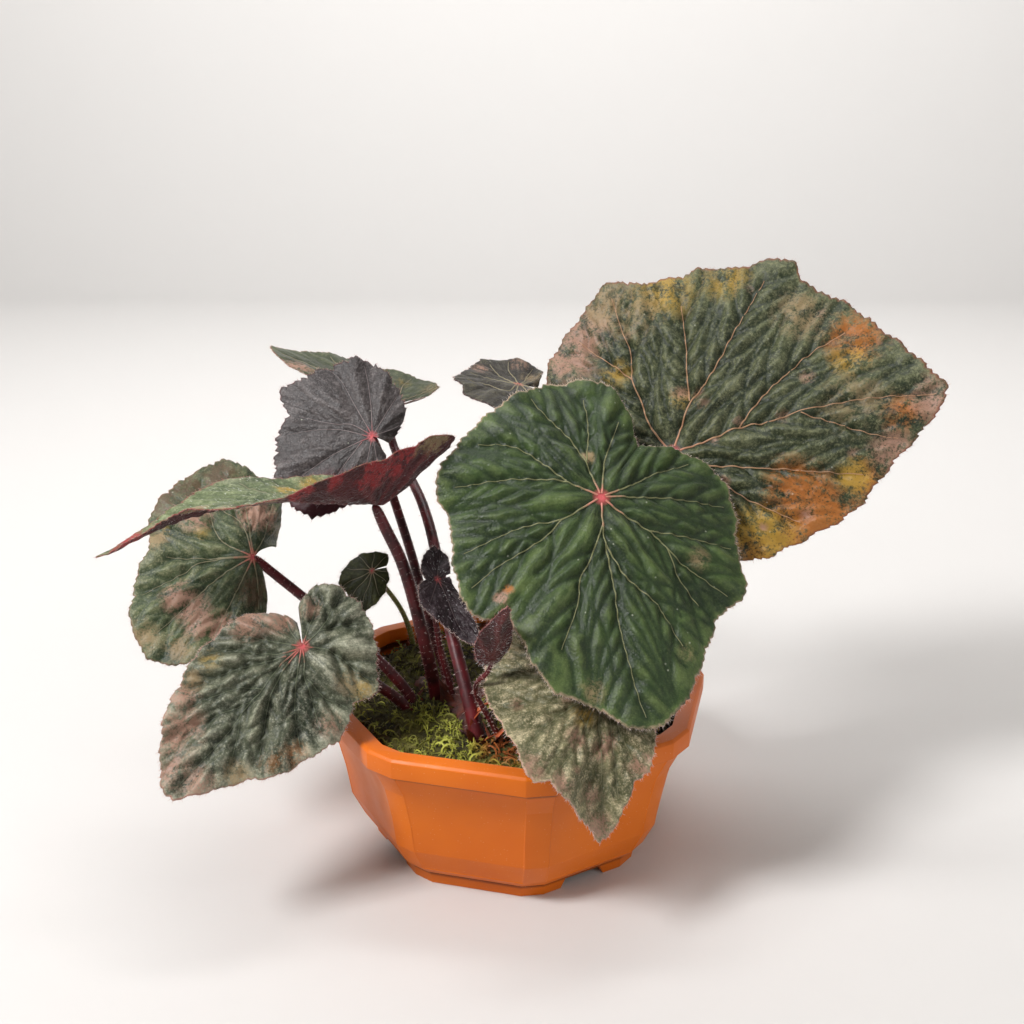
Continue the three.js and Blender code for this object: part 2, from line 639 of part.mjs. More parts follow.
// The blade: spokes from the stalk to the margin, the same triangles on both faces.
function makeBlade(leaf) {
  const stations = marginStations(leaf);
  const pad = leaf.girth[1] + PAD_MARGIN;
  const middle = [new THREE.Vector3(0, 0, 0)];
  for (const station of stations) {
    for (let ring = 0; ring <= leaf.rings; ring += 1) {
      const distance = THREE.MathUtils.lerp(pad, station.reach, ring / leaf.rings);
      middle.push(new THREE.Vector3(
        distance * Math.cos(station.angle),
        distance * Math.sin(station.angle),
        bladeHeight(leaf, station, pad, distance),
      ));
    }
  }
  const at = (spoke, ring) => 1 + spoke * (leaf.rings + 1) + ring;
  const faces = [];
  for (let spoke = 0; spoke < leaf.spokes; spoke += 1) {
    faces.push(0, at(spoke, 0), at(spoke + 1, 0));
    for (let ring = 0; ring < leaf.rings; ring += 1) {
      faces.push(at(spoke, ring), at(spoke, ring + 1), at(spoke + 1, ring + 1));
      faces.push(at(spoke, ring), at(spoke + 1, ring + 1), at(spoke + 1, ring));
    }
  }
  const border = [0];
  for (let ring = 0; ring < leaf.rings; ring += 1) {
    border.push(at(0, ring));
  }
  for (let spoke = 0; spoke <= leaf.spokes; spoke += 1) {
    border.push(at(spoke, leaf.rings));
  }
  for (let ring = leaf.rings - 1; ring >= 0; ring -= 1) {
    border.push(at(leaf.spokes, ring));
  }
  return thicken(middle, faces, border, BLADE_THICKNESS);
}

// Two copies of a sheet, moved apart along its normals and joined round the border.
function thicken(points, faces, border, thickness) {
  const sheet = geometryFrom(points, faces);
  sheet.computeVertexNormals();
  const normals = sheet.getAttribute('normal');
  const moved = (side) => points.map((point, i) => (
    new THREE.Vector3().fromBufferAttribute(normals, i)
      .multiplyScalar(side * thickness / 2)
      .add(point)
  ));
  const count = points.length;
  const closed = [...faces];
  for (let i = 0; i < faces.length; i += 3) {
    closed.push(faces[i] + count, faces[i + 2] + count, faces[i + 1] + count);
  }
  border.forEach((from, i) => {
    const to = border[(i + 1) % border.length];
    closed.push(from + count, to + count, to);
    closed.push(from + count, to, from);
  });
  return geometryFrom([...moved(1), ...moved(-1)], closed);
}

// ---------------------------------------------------------------- assembly

const plant = new THREE.Group();

const sockets = LEAVES.map((leaf) => toSolid(makeStalk(leaf, GAP)));
const allSockets = sockets.reduce((sum, socket) => sum.add(socket));
const rhizomeSeat = rhizomeBody(GAP);

const soil = mainBody(soilBody().subtract(allSockets).subtract(rhizomeSeat));
const moss = mainBody(mossBody().subtract(allSockets).subtract(rhizomeSeat));
const rhizome = mainBody(rhizomeBody(0).subtract(allSockets));

plant.add(makeMesh('pot', makePot(), 0xc8642a, 0.45));
plant.add(makeMesh('soil', toGeometry(soil), 0x2a1f17, 0.95));
plant.add(makeMesh('moss', toGeometry(moss), 0x8a8f2e, 0.9));
plant.add(makeMesh('rhizome', toGeometry(rhizome), 0x3a1a14, 0.7));

for (const leaf of LEAVES) {
  const { along, left, out } = bladeBasis(leaf);
  const blade = makeMesh(`blade_${leaf.name}`, makeBlade(leaf), leaf.color, 0.55);
  blade.position.set(...leaf.at);
  blade.quaternion.setFromRotationMatrix(new THREE.Matrix4().makeBasis(along, left, out));
  plant.add(blade);
  plant.add(makeMesh(`stalk_${leaf.name}`, makeStalk(leaf), 0x5a1620, 0.5));
}

// The origin goes to the middle of the bottom of the whole box.
const box = new THREE.Box3().setFromObject(plant, true);
const centre = box.getCenter(new THREE.Vector3());
plant.position.set(-centre.x, -centre.y, -box.min.z);
plant.updateMatrixWorld(true);

export default plant;
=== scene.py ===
# %% [markdown]
# # A potted rex begonia, dressed in Blender
#
# The solid model gives the size and place of the pot, the soil, the stalks and every leaf.
# This lesson puts the living plant over it: puckered blades with their veins and hairs, moss
# made of sprigs, and a moulded plastic pot. The solids are loaded first, and the pot's box
# gives the middle of its foot and its top. What is made here may reach past it only by its
# hairs and puckers.

# %% Load the solid model
import math

import bmesh
import bpy
import numpy as np
from mathutils import Matrix, Quaternion, Vector, noise
from mathutils.bvhtree import BVHTree
from mathutils.kdtree import KDTree


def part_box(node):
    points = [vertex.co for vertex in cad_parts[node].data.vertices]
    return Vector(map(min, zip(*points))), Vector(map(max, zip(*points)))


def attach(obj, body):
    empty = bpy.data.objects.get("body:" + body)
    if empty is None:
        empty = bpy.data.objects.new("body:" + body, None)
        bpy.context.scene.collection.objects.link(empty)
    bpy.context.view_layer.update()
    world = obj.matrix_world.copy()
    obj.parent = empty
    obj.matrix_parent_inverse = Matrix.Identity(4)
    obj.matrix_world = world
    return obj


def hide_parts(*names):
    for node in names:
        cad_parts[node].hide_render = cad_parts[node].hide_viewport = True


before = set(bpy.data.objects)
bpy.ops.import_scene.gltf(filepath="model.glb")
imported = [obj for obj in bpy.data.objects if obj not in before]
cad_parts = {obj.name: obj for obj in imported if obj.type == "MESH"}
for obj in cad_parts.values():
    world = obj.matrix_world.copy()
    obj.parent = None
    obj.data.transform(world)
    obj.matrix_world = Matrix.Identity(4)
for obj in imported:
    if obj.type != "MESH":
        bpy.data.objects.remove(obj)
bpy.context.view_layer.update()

MM = 0.001

low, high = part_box("pot")
POT = Vector(((low.x + high.x) / 2, (low.y + high.y) / 2, 0))
POT_TOP = high.z

# %% Small helpers for the work
MERGED = 1e-6  # metres, under which two corners count as one


def add(operator, **settings):
    """Adds a shape, lamp or camera with nothing else selected, and hands it over."""
    bpy.ops.object.select_all(action="DESELECT")
    operator(**settings)
    return bpy.context.object


def on_its_own(obj):
    """Selects one object and nothing else, so that an operator acts on it alone."""
    bpy.ops.object.select_all(action="DESELECT")
    obj.select_set(True)
    bpy.context.view_layer.objects.active = obj


def open_mesh(obj):
    """Edit mode for one object, with all of its mesh selected."""
    on_its_own(obj)
    bpy.ops.object.mode_set(mode="EDIT")
    bpy.ops.mesh.select_all(action="SELECT")


def close_mesh():
    bpy.ops.object.mode_set(mode="OBJECT")


def pick(obj, kind, wanted):
    """In edit mode, selects the edges or faces that are wanted and leaves out the others."""
    mesh = bmesh.from_edit_mesh(obj.data)
    for part in getattr(mesh, kind):
        part.select_set(wanted(part))
    bmesh.update_edit_mesh(obj.data)


def apply_modifier(obj, kind, **settings):
    """Adds a modifier, sets it and makes its result the mesh."""
    on_its_own(obj)
    modifier = obj.modifiers.new(kind.title(), kind)
    for key, value in settings.items():
        setattr(modifier, key, value)
    bpy.ops.object.modifier_apply(modifier=modifier.name)


def finish_piece(obj, name, slot, *nodes):
    """Names the piece, hangs it on the plant and lets it stand for its solids."""
    obj.name = name
    obj.data.name = name
    if nodes:
        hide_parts(*nodes)
    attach(obj, "root")
    print(f"{name}: {len(obj.data.polygons)} faces")


# %% [markdown]
# ## The camera and the stage
#
# The camera stands where a person at the table would, a little above the rim, and looks down
# by 18 degrees. A long lens keeps the pot's sides from flaring. Its place is given from the
# middle of the pot's foot, so that it stays right if the frame's origin moves. The stage is a
# pale sheet that rises behind the plant. A flat plane with a wall would show a line, so one
# sheet is extruded up at its back edge and the fold is bevelled.

# %% Camera
CAMERA_PLACE = Vector((0, -590, 373)) * MM
LOOKING_DOWN = 18.16
LENS = 42.1875
SENSOR = 36

camera = add(
    bpy.ops.object.camera_add,
    location=POT + CAMERA_PLACE, rotation=(math.radians(90 - LOOKING_DOWN), 0, 0),
)
camera.data.lens = LENS
camera.data.sensor_width = SENSOR
camera.data.clip_start = 0.01
bpy.context.scene.camera = camera

# %% Stage and light
FLOOR = (0.66, 0.645, 0.63)
STAGE_SIZE = 4
STAGE_HEIGHT = 3
STAGE_BEND = 1.2
BEHIND = 1  # past this Y lies only the sheet's back edge
WORLD_COLOUR = (1, 0.99, 0.97, 1)
WORLD_STRENGTH = 0.36
AIM = (0, 0, 0.15)


def at_the_back(edge, height):
    """Whether an edge lies at the back of the stage and below a height."""
    return all(corner.co.y > BEHIND and corner.co.z < height for corner in edge.verts)


floor = add(bpy.ops.mesh.primitive_plane_add, size=STAGE_SIZE)
floor.name = "stage_sheet"
bpy.ops.object.mode_set(mode="EDIT")
pick(floor, "edges", lambda edge: at_the_back(edge, STAGE_HEIGHT))
bpy.ops.mesh.extrude_region_move(TRANSFORM_OT_translate={"value": (0, 0, STAGE_HEIGHT)})
pick(floor, "edges", lambda edge: at_the_back(edge, STAGE_HEIGHT / 2))
bpy.ops.mesh.bevel(offset=STAGE_BEND, segments=24)
close_mesh()
bpy.ops.object.shade_smooth()
pale_floor = bpy.data.materials.new("pale floor")
pale_floor.use_nodes = True
floor_shader = pale_floor.node_tree.nodes["Principled BSDF"]
floor_shader.inputs["Base Color"].default_value = (*FLOOR, 1)
floor_shader.inputs["Roughness"].default_value = 0.9
floor.data.materials.append(pale_floor)

world = bpy.data.worlds.new("soft room light")
world.use_nodes = True
sky = world.node_tree.nodes["Background"]
sky.inputs["Color"].default_value = WORLD_COLOUR
sky.inputs["Strength"].default_value = WORLD_STRENGTH
bpy.context.scene.world = world
bpy.context.scene.view_settings.view_transform = "Standard"


def soft_light(name, place, aim, size, power):
    """A square lamp at a place, turned towards what it lights."""
    turn = (Vector(aim) - Vector(place)).to_track_quat("-Z", "Y").to_euler()
    lamp = add(bpy.ops.object.light_add, type="AREA", location=place, rotation=turn)
    lamp.name = name
    lamp.data.size = size
    lamp.data.energy = power


soft_light("window", (-0.8, -0.5, 1.1), AIM, 0.36, 19)
soft_light("fill", (1.2, -1.1, 0.8), AIM, 1.2, 6)
soft_light("backdrop_wash", (0, 0.5, 1.9), (0, 2.2, 0.9), 1.2, 40)
print("stage", STAGE_SIZE, "m wide, with three lamps")

# %% [markdown]
# ## The pot
#
# The real pot is one moulding of terracotta-orange plastic, with a flat rim, a band below it
# and a foot with cut-outs. Its form is all in the solid, so a copy of that mesh is taken
# rather than building it twice. The copy is loose triangles: it is merged, its flat faces are
# joined again, the panels of the wall are set in a little, and the edges get the small radius
# that a mould leaves. A light catching on those edges is what makes a plastic pot look moulded.

# %% Pot shape
POT_EDGE = 0.6 * MM
PANEL_BORDER = 0.5 * MM
PANEL_DEPTH = 0.35 * MM
SMALLEST_PANEL = 700 * MM ** 2
STEEPNESS = 0.6  # how far up or down a wall's normal may point


def copy_of_node(node):
    """A merged copy of a solid's mesh, in an object of its own."""
    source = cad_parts[node]
    obj = bpy.data.objects.new(node + "_dressed", source.data.copy())
    bpy.context.scene.collection.objects.link(obj)
    obj.data.materials.clear()
    open_mesh(obj)
    bpy.ops.mesh.remove_doubles(threshold=MERGED)
    close_mesh()
    return obj


def is_wall_panel(face):
    """Whether a face is one of the large outer ones of the pot's wall."""
    outward = (face.calc_center_median() - POT).to_2d().dot(face.normal.to_2d()) > 0
    return outward and abs(face.normal.z) < STEEPNESS and face.calc_area() > SMALLEST_PANEL


pot = copy_of_node("pot")
open_mesh(pot)
bpy.ops.mesh.dissolve_limited(angle_limit=math.radians(1.5))
bpy.ops.mesh.select_all(action="DESELECT")
pick(pot, "faces", is_wall_panel)
bpy.ops.mesh.inset(thickness=PANEL_BORDER, depth=-PANEL_DEPTH)
close_mesh()
apply_modifier(
    pot, "BEVEL", width=POT_EDGE, segments=3, limit_method="ANGLE",
    angle_limit=math.radians(12), use_clamp_overlap=True, harden_normals=False,
)
on_its_own(pot)
bpy.ops.object.shade_smooth_by_angle(angle=math.radians(35))
print("pot edges rounded by", POT_EDGE / MM, "mm")

# %% [markdown]
# ### Finishes are small networks of nodes
#
# Every finish here starts from the same two things: a pattern that is read from the place on
# the object, and a ramp that turns it into colour. A few helpers keep the networks short
# enough to read. Patterns use object coordinates in metres, so a scale of 1000 means one
# repeat each millimetre.

# %% Helpers for finishes
class Finish:
    """A material and the few kinds of node that this plant needs."""

    def __init__(self, name, roughness=0.5):
        self.material = bpy.data.materials.new(name)
        self.material.use_nodes = True
        self.tree = self.material.node_tree
        self.shader = self.tree.nodes["Principled BSDF"]
        self.shader.inputs["Roughness"].default_value = roughness
        self.place = self.tree.nodes.new("ShaderNodeTexCoord").outputs["Object"]

    def node(self, kind, **settings):
        node = self.tree.nodes.new(kind)
        for key, value in settings.items():
            setattr(node, key, value)
        return node

    def put(self, value, socket):
        """Links an output to a socket, or sets a plain value on it."""
        if isinstance(value, bpy.types.NodeSocket):
            self.tree.links.new(value, socket)
        else:
            socket.default_value = value

    def noise(self, scale, detail=3.0, rough=0.55, place=None):
        node = self.node("ShaderNodeTexNoise")
        self.put(self.place if place is None else place, node.inputs["Vector"])
        node.inputs["Scale"].default_value = scale
        node.inputs["Detail"].default_value = detail
        node.inputs["Roughness"].default_value = rough
        return node.outputs["Fac"]

    def cells(self, scale, feature="F1"):
        node = self.node("ShaderNodeTexVoronoi", feature=feature)
        self.put(self.place, node.inputs["Vector"])
        node.inputs["Scale"].default_value = scale
        return node.outputs["Distance"]

    def attribute(self, name):
        return self.node("ShaderNodeAttribute", attribute_name=name).outputs["Fac"]

    def near(self, place, inner, outer):
        """1 within the inner distance of a place, falling to 0 at the outer one."""
        node = self.node("ShaderNodeVectorMath", operation="DISTANCE")
        self.put(self.place, node.inputs[0])
        node.inputs[1].default_value = place
        return self.map(node.outputs["Value"], inner, outer, 1, 0)

    def map(self, value, low, high, to_low=0.0, to_high=1.0):
        node = self.node("ShaderNodeMapRange", clamp=True)
        self.put(value, node.inputs["Value"])
        node.inputs["From Min"].default_value = low
        node.inputs["From Max"].default_value = high
        node.inputs["To Min"].default_value = to_low
        node.inputs["To Max"].default_value = to_high
        return node.outputs["Result"]

    def maths(self, operation, a, b):
        """Two numbers in one, kept between 0 and 1."""
        node = self.node("ShaderNodeMath", operation=operation, use_clamp=True)
        self.put(a, node.inputs[0])
        self.put(b, node.inputs[1])
        return node.outputs[0]

    def times(self, a, b):
        return self.maths("MULTIPLY", a, b)

    def mix(self, share, a, b):
        """Colour a where share is 0 and colour b where it is 1."""
        node = self.node("ShaderNodeMix", data_type="RGBA")
        self.put(share, node.inputs["Factor"])
        self.put(a, node.inputs["A"])
        self.put(b, node.inputs["B"])
        return node.outputs["Result"]

    def blend(self, value, low, high, a, b):
        """Colour a where the value is low and colour b where it is high."""
        return self.mix(self.map(value, low, high), a, b)

    def colour(self, value):
        self.shader_input("Base Color", value)

    def shader_input(self, name, value):
        self.put(value, self.shader.inputs[name])

    def bump(self, height, depth, strength=1.0):
        """Relief of this depth, in metres."""
        node = self.node("ShaderNodeBump")
        node.inputs["Strength"].default_value = strength
        node.inputs["Distance"].default_value = depth
        self.put(height, node.inputs["Height"])
        self.put(node.outputs["Normal"], self.shader.inputs["Normal"])


def seen(red, green, blue):
    """A colour as it is seen, from 0 to 255, turned into the linear light of a socket."""
    def linear(level):
        share = level / 255
        return share / 12.92 if share <= 0.04045 else ((share + 0.055) / 1.055) ** 2.4

    return (linear(red), linear(green), linear(blue), 1.0)


def two_toned(name, roughness, cloud, first, second, relief=None):
    """A finish that drifts between two colours: cloud gives scale, detail, low and high."""
    finish = Finish(name, roughness)
    finish.colour(finish.blend(finish.noise(*cloud[:2]), *cloud[2:], first, second))
    if relief:
        finish.bump(finish.noise(*relief[:2]), *relief[2:])
    return finish.material


# %% Pot finish
RIM_BAND = 10 * MM
FOOT_BAND = 8 * MM
DARKEST = 2.0 * MM  # painted shade is full this far below each overhanging edge
SHADE_REACH = 3.6 * MM
PAINTED_SHADE = seen(84, 34, 6)
FLAW = seen(236, 190, 150)

terracotta = Finish("terracotta orange plastic", 0.42)
clouding = terracotta.noise(14, 3)
specks = terracotta.cells(420)
orange = terracotta.blend(clouding, 0.35, 0.7, seen(206, 98, 4), seen(220, 112, 12))
level = terracotta.node("ShaderNodeSeparateXYZ")
terracotta.put(terracotta.place, level.inputs[0])
# Painted shade: below the rim band and below the wall's foot edge, the orange darkens towards each
# overhanging edge.
for edge in (POT_TOP - RIM_BAND, FOOT_BAND):
    under = terracotta.maths("LESS_THAN", level.outputs["Z"], edge)
    painted_shade = terracotta.map(level.outputs["Z"], edge - SHADE_REACH, edge - DARKEST, 0, 0.85)
    orange = terracotta.mix(terracotta.times(under, painted_shade), orange, PAINTED_SHADE)
terracotta.colour(terracotta.mix(terracotta.map(specks, 0.05, 0.12, 0.35, 0), orange, FLAW))
terracotta.shader_input(
    "Roughness", terracotta.map(terracotta.noise(60, 4), 0.3, 0.7, 0.36, 0.5)
)
terracotta.shader_input("Specular IOR Level", 0.32)
terracotta.bump(terracotta.noise(900, 2), 0.00006, 0.5)
pot.data.materials.append(terracotta.material)
finish_piece(pot, "moulded_pot", "pot", "pot")

# %% [markdown]
# ## Feeling the form of a solid leaf
#
# A begonia leaf is a thin sheet that rises and falls over a flat plane, and its margin is met
# once in each direction from the stalk. That makes it easy to describe: for each direction,
# how far the margin lies and how high. The solid leaf already has this form, so the new
# blade reads it by touch: rays are dropped on the solid along the leaf's own axis. The fine
# blade then keeps the outline of the solid exactly.

# %% The leaves
# at, lie: where the stalk meets the blade, in millimetres from the middle of the pot's foot,
#   and the heading, dip and roll of the blade there, in degrees.
# sweep: from one edge of the basal notch to the other, in degrees from the midrib.
# curl: how late towards the margin the blade rises. fold: the same where it stands up high.
# girth: the stalk's radius under the blade. grid: how coarse the blade's grid is.
# relief: height of the swellings between the veins, of those between the side veins and of
#   the smallest dents, then the distance between side veins, all in millimetres.
# veins: lines of (degrees, share of the reach in percent), as seen on the plant.
# spokes: straight veins that are hidden or faint, by their direction.
# cord: how stout the veins are. teeth: how deep the margin is cut. lap: how far the edges of
#   the notch reach over each other, in degrees.
# spots: (degrees, percent, radius in millimetres, strength) for each tint. freckles: how many
#   small pale spots are added at random places.
LEAVES = {
    "front": {
        "at": (44, -27, 196), "lie": (-76, 50, 2), "sweep": (138, 495), "curl": 1.7, "girth": 3.2,
        "lap": 2.2, "relief": (2.8, 2.4, 0.5, 12),
        "veins": [
            [(193, 3), (193, 29), (196, 49), (202, 76), (203, 92)],
            [(192, 29), (181, 46), (178, 63), (178, 82)],
            [(164, 3), (164, 32), (159, 58), (157, 80)],
            [(237, 3), (237, 19), (240, 30), (249, 50), (252, 62), (257, 88)],
            [(236, 25), (230, 44), (228, 60), (230, 75), (236, 88)],
            [(293, 3), (294, 15), (294, 29), (286, 45), (284, 63), (285, 92)],
            [(294, 29), (299, 41), (298, 58), (297, 75), (298, 92)],
            [(350, 3), (352, 15), (355, 26), (357, 41), (357, 56), (359, 83), (360, 95)],
            [(352, 13), (340, 33), (336, 44), (338, 56), (336, 80)],
            [(355, 22), (365, 36), (373, 50), (377, 62), (378, 85)],
            [(402, 3), (402, 14), (406, 27), (406, 41), (403, 58), (405, 92)],
            [(407, 34), (420, 62), (423, 78), (425, 95)], [(404, 48), (396, 67), (394, 86)],
            [(446, 3), (446, 24), (445, 59), (443, 93)],
            [(468, 3), (468, 30), (470, 60), (468, 88)],
        ],
        "spots": {
            "tan": [(187, 33, 3, 1.2), (347, 93, 7, 0.4), (51, 67, 6, 0.5), (18, 89, 6, 0.3)],
            "pink": [(308, 84, 3, 1.0)],
            "orange": [(308, 78, 2.5, 0.7)],
        },
    },
    "tall": {
        "at": (85, 23, 205), "lie": (-8, -14, 55), "sweep": (203, 556), "curl": 1.7, "girth": 3.2,
        "grid": 1.1, "freckles": 30, "relief": (3.0, 2.8, 1.3, 15),
        "veins": [
            [(500, 3), (478, 21), (470, 34), (468, 46), (462, 59), (462, 71), (461, 90)],
            [(468, 46), (472, 60), (475, 71), (478, 90)],
            [(423, 3), (422, 24), (416, 38), (415, 51), (415, 61), (414, 88)],
            [(423, 26), (432, 43), (434, 54), (438, 82)],
            [(366, 3), (368, 15), (370, 27), (367, 37), (367, 48), (366, 61), (364, 76), (361, 96)],
            [(370, 27), (383, 45), (386, 60), (387, 73), (386, 88)],
            [(366, 50), (357, 66), (354, 78), (352, 92)],
            [(323, 3), (323, 18), (336, 35), (340, 56), (342, 90)],
            [(323, 18), (316, 49), (318, 69), (320, 88)], [(282, 3), (284, 40), (288, 85)],
            [(240, 3), (240, 50), (244, 88)], [(525, 3), (520, 50), (515, 88)],
        ],
        "spots": {
            "yellow": [
                (84, 92, 17, 0.6), (65, 93, 14, 0.5), (114, 57, 9, 0.5), (71, 27, 7, 0.4),
                (341, 88, 8, 0.9), (307, 87, 14, 0.9), (303, 76, 12, 0.7), (18, 80, 10, 0.6),
            ],
            "tan": [(95, 80, 16, 0.5), (104, 92, 16, 0.7), (39, 85, 14, 0.6), (5, 70, 20, 0.4)],
            "orange": [
                (23, 89, 15, 0.7), (358, 86, 10, 0.6), (333, 64, 14, 0.6), (340, 96, 12, 0.6),
                (327, 77, 18, 0.8), (325, 92, 17, 0.9), (300, 92, 10, 0.8), (312, 94, 9, 0.8),
            ],
            "pink": [
                (116, 93, 18, 0.7), (126, 88, 16, 0.7), (360, 96, 12, 0.7), (348, 97, 12, 0.7),
            ],
        },
    },
    "rim": {
        "at": (41, -73, 114), "lie": (-90, 53, -7), "sweep": (168, 518), "curl": 1.5, "girth": 2.2,
        "cord": 0.7, "freckles": 16, "relief": (2.6, 3.2, 0.8, 9),
        "veins": [
            [(361, 3), (361, 26), (361, 46), (361, 72), (360, 94)],
            [(350, 3), (339, 36), (334, 64), (330, 92)],
            [(320, 3), (304, 46), (307, 79), (311, 94)],
            [(279, 3), (279, 49), (281, 77), (283, 91)],
            [(248, 3), (256, 43), (257, 69), (259, 95)],
            [(225, 3), (234, 44), (235, 70), (235, 88)],
            [(398, 3), (389, 41), (386, 73), (387, 91)], [(381, 33), (374, 55), (370, 88)],
            [(361, 46), (353, 65), (348, 88)],
        ],
        "spokes": [200, 425, 465, 500],
        "spots": {
            "pink": [
                (359, 91, 9, 0.6), (354, 78, 7, 0.5), (318, 94, 8, 0.6), (31, 90, 7, 0.6),
                (2, 42, 6, 0.6), (333, 50, 6, 0.6), (335, 92, 7, 0.5), (11, 42, 5, 0.5),
                (227, 91, 8, 0.5),
            ],
            "tan": [(242, 83, 9, 0.5)],
            "yellow": [(330, 27, 7, 0.5)],
        },
    },
    "low": {
        "at": (-101, -60, 131), "lie": (-138, 36, -45), "sweep": (233, 586), "curl": 1.6,
        "girth": 2.5, "cord": 0.75, "relief": (4.2, 3.6, 0.7, 12),
        "veins": [
            [(563, 3), (563, 25), (562, 57), (565, 86)], [(267, 3), (258, 40), (250, 80)],
            [(528, 3), (534, 33), (542, 66), (546, 92)], [(533, 30), (518, 66), (512, 90)],
            [(469, 3), (482, 29), (473, 50), (465, 69), (462, 90)],
            [(405, 3), (407, 15), (403, 26), (408, 38), (410, 50), (412, 82)],
            [(409, 31), (423, 56), (432, 75), (436, 92)],
            [(350, 3), (350, 13), (353, 19), (358, 30), (358, 41), (360, 60), (359, 95)],
            [(345, 3), (327, 21), (314, 58), (311, 71), (314, 90)],
            [(310, 3), (299, 43), (298, 70), (301, 91)],
            [(342, 12), (333, 28), (329, 48), (329, 67), (331, 88)],
            [(358, 30), (345, 43), (340, 61), (338, 86)],
            [(358, 38), (353, 49), (348, 67), (347, 88)], [(359, 47), (366, 65), (370, 88)],
            [(362, 3), (362, 15), (368, 35), (375, 58), (380, 88)],
            [(379, 3), (391, 34), (395, 59), (399, 86)],
        ],
        "spots": {
            "pink": [
                (345, 90, 13, 0.6), (354, 92, 10, 0.55), (4, 93, 9, 0.5), (345, 80, 8, 0.6),
                (281, 88, 10, 0.8), (258, 81, 8, 0.8), (59, 80, 7, 0.5), (333, 92, 9, 0.6),
                (210, 60, 6, 0.5),
            ],
            "orange": [(26, 88, 9, 0.25), (37, 90, 9, 0.3)],
            "tan": [(14, 94, 8, 0.6), (91, 66, 7, 0.5), (326, 90, 6, 0.6)],
            "yellow": [(95, 86, 7, 0.4), (318, 82, 7, 0.35)],
        },
    },
    "left": {
        "at": (-135, -1, 155), "lie": (-129, 41, -32), "sweep": (172, 424), "curl": 1.6,
        "girth": 2.4, "cord": 0.8, "relief": (2.8, 2.2, 0.6, 10),
        "veins": [
            [(290, 3), (302, 25), (302, 52), (300, 80)],
            [(300, 3), (306, 42), (315, 61), (319, 81), (321, 92)],
            [(275, 3), (273, 28), (264, 42), (253, 60), (250, 85)],
            [(239, 3), (229, 21), (234, 37), (243, 51), (245, 80)],
            [(219, 3), (222, 21), (222, 36), (223, 80)],
            [(327, 3), (330, 18), (334, 32), (338, 48), (342, 85)],
            [(366, 3), (367, 25), (368, 80)], [(185, 3), (190, 35), (197, 60), (200, 88)],
            [(393, 3), (400, 40), (397, 75)],
        ],
        "spots": {
            "pink": [
                (332, 62, 8, 0.9), (344, 56, 8, 1.0), (356, 62, 8, 1.0), (7, 66, 8, 1.0),
                (210, 49, 9, 1.0), (264, 63, 8, 0.9), (219, 36, 6, 0.6),
            ],
            "brown": [(234, 86, 10, 0.9), (252, 92, 9, 0.9), (267, 95, 8, 0.9), (34, 45, 9, 0.8)],
            "tan": [(289, 94, 6, 1.0), (356, 84, 9, 0.6), (340, 95, 9, 0.6), (370, 92, 7, 0.5)],
            "yellow": [(281, 84, 6, 0.3), (274, 50, 5, 0.35)],
        },
    },
    "wing": {
        "at": (-69, -13, 188), "lie": (-171, -8, 14), "sweep": (198, 527), "curl": 2.6,
        "fold": 1.15, "girth": 3.0, "relief": (1.6, 1.6, 0.8, 8),
        "veins": [
            [(360, 3), (359, 40), (361, 70), (361, 95)], [(358, 30), (345, 60), (340, 88)],
            [(360, 45), (372, 65), (380, 88)],
        ],
        "spokes": [225, 262, 300, 328, 402, 435, 470, 505],
        "spots": {
            "crimson": [
                (48, 97, 5, 1.1), (60, 95, 4, 0.8), (80, 90, 6, 1.1), (91, 84, 7, 1.2),
                (104, 88, 7, 1.1), (118, 93, 5, 1.0), (0, 95, 10, 0.7),
            ],
            "tan": [
                (132, 97, 4, 1.1), (146, 98, 5, 1.2), (12, 96, 7, 0.9), (24, 97, 7, 0.9),
                (36, 97, 6, 0.8),
            ],
            "yellow": [(335, 64, 7, 0.7), (314, 84, 7, 0.6)],
        },
    },
    "silver": {
        "at": (-76, 45, 208), "lie": (-160, 37, -49), "sweep": (121, 444), "curl": 1.6,
        "girth": 2.3, "cord": 0.5, "teeth": 1.8, "relief": (1.0, 0.7, 0.5, 6),
        "veins": [
            [(341, 3), (341, 23), (343, 43), (346, 65), (349, 92)],
            [(321, 3), (305, 36), (310, 62), (315, 88)],
            [(274, 3), (288, 23), (299, 45), (301, 86)],
            [(252, 3), (259, 43), (259, 79), (262, 95)],
            [(235, 3), (234, 33), (236, 66), (238, 90)], [(192, 3), (202, 45), (202, 85)],
            [(150, 3), (161, 60), (165, 88)], [(424, 3), (420, 49), (416, 85)],
            [(346, 11), (361, 26), (366, 43), (372, 88)], [(395, 3), (398, 45), (398, 85)],
        ],
        "spots": {
            # wine: a dark wine-red patch over part of the margin
            "wine": [(19, 84, 12, 3), (3, 92, 10, 2), (35, 85, 10, 2)],
        },
    },
    "plate": {
        "at": (-70, 85, 218), "lie": (164, -20, 0), "sweep": (228, 572), "curl": 1.5, "girth": 2.2,
        "relief": (1.1, 1.0, 0.5, 8),
        "spokes": [245, 275, 303, 332, 360, 385, 415, 460, 510, 555],
        "spots": {
            "pink": [(11, 86, 8, 0.7)],
            "yellow": [(281, 70, 8, 0.25)],
            "tan": [(244, 86, 8, 0.4)],
        },
    },
    "back": {
        "at": (4, 71, 231), "lie": (-157, -10, 0), "sweep": (192, 542), "curl": 1.5, "girth": 2.3,
        "relief": (1.1, 1.0, 0.6, 7),
        "veins": [
            [(406, 3), (406, 40), (376, 53), (361, 80)], [(300, 3), (292, 46), (288, 82)],
            [(425, 3), (420, 60), (412, 92)],
        ],
        "spokes": [210, 232, 262, 330, 450, 490, 525],
        "spots": {
            "pink": [(308, 80, 6, 0.5), (249, 85, 7, 0.4)],
            "tan": [(221, 60, 7, 0.5)],
        },
    },
    "olive": {
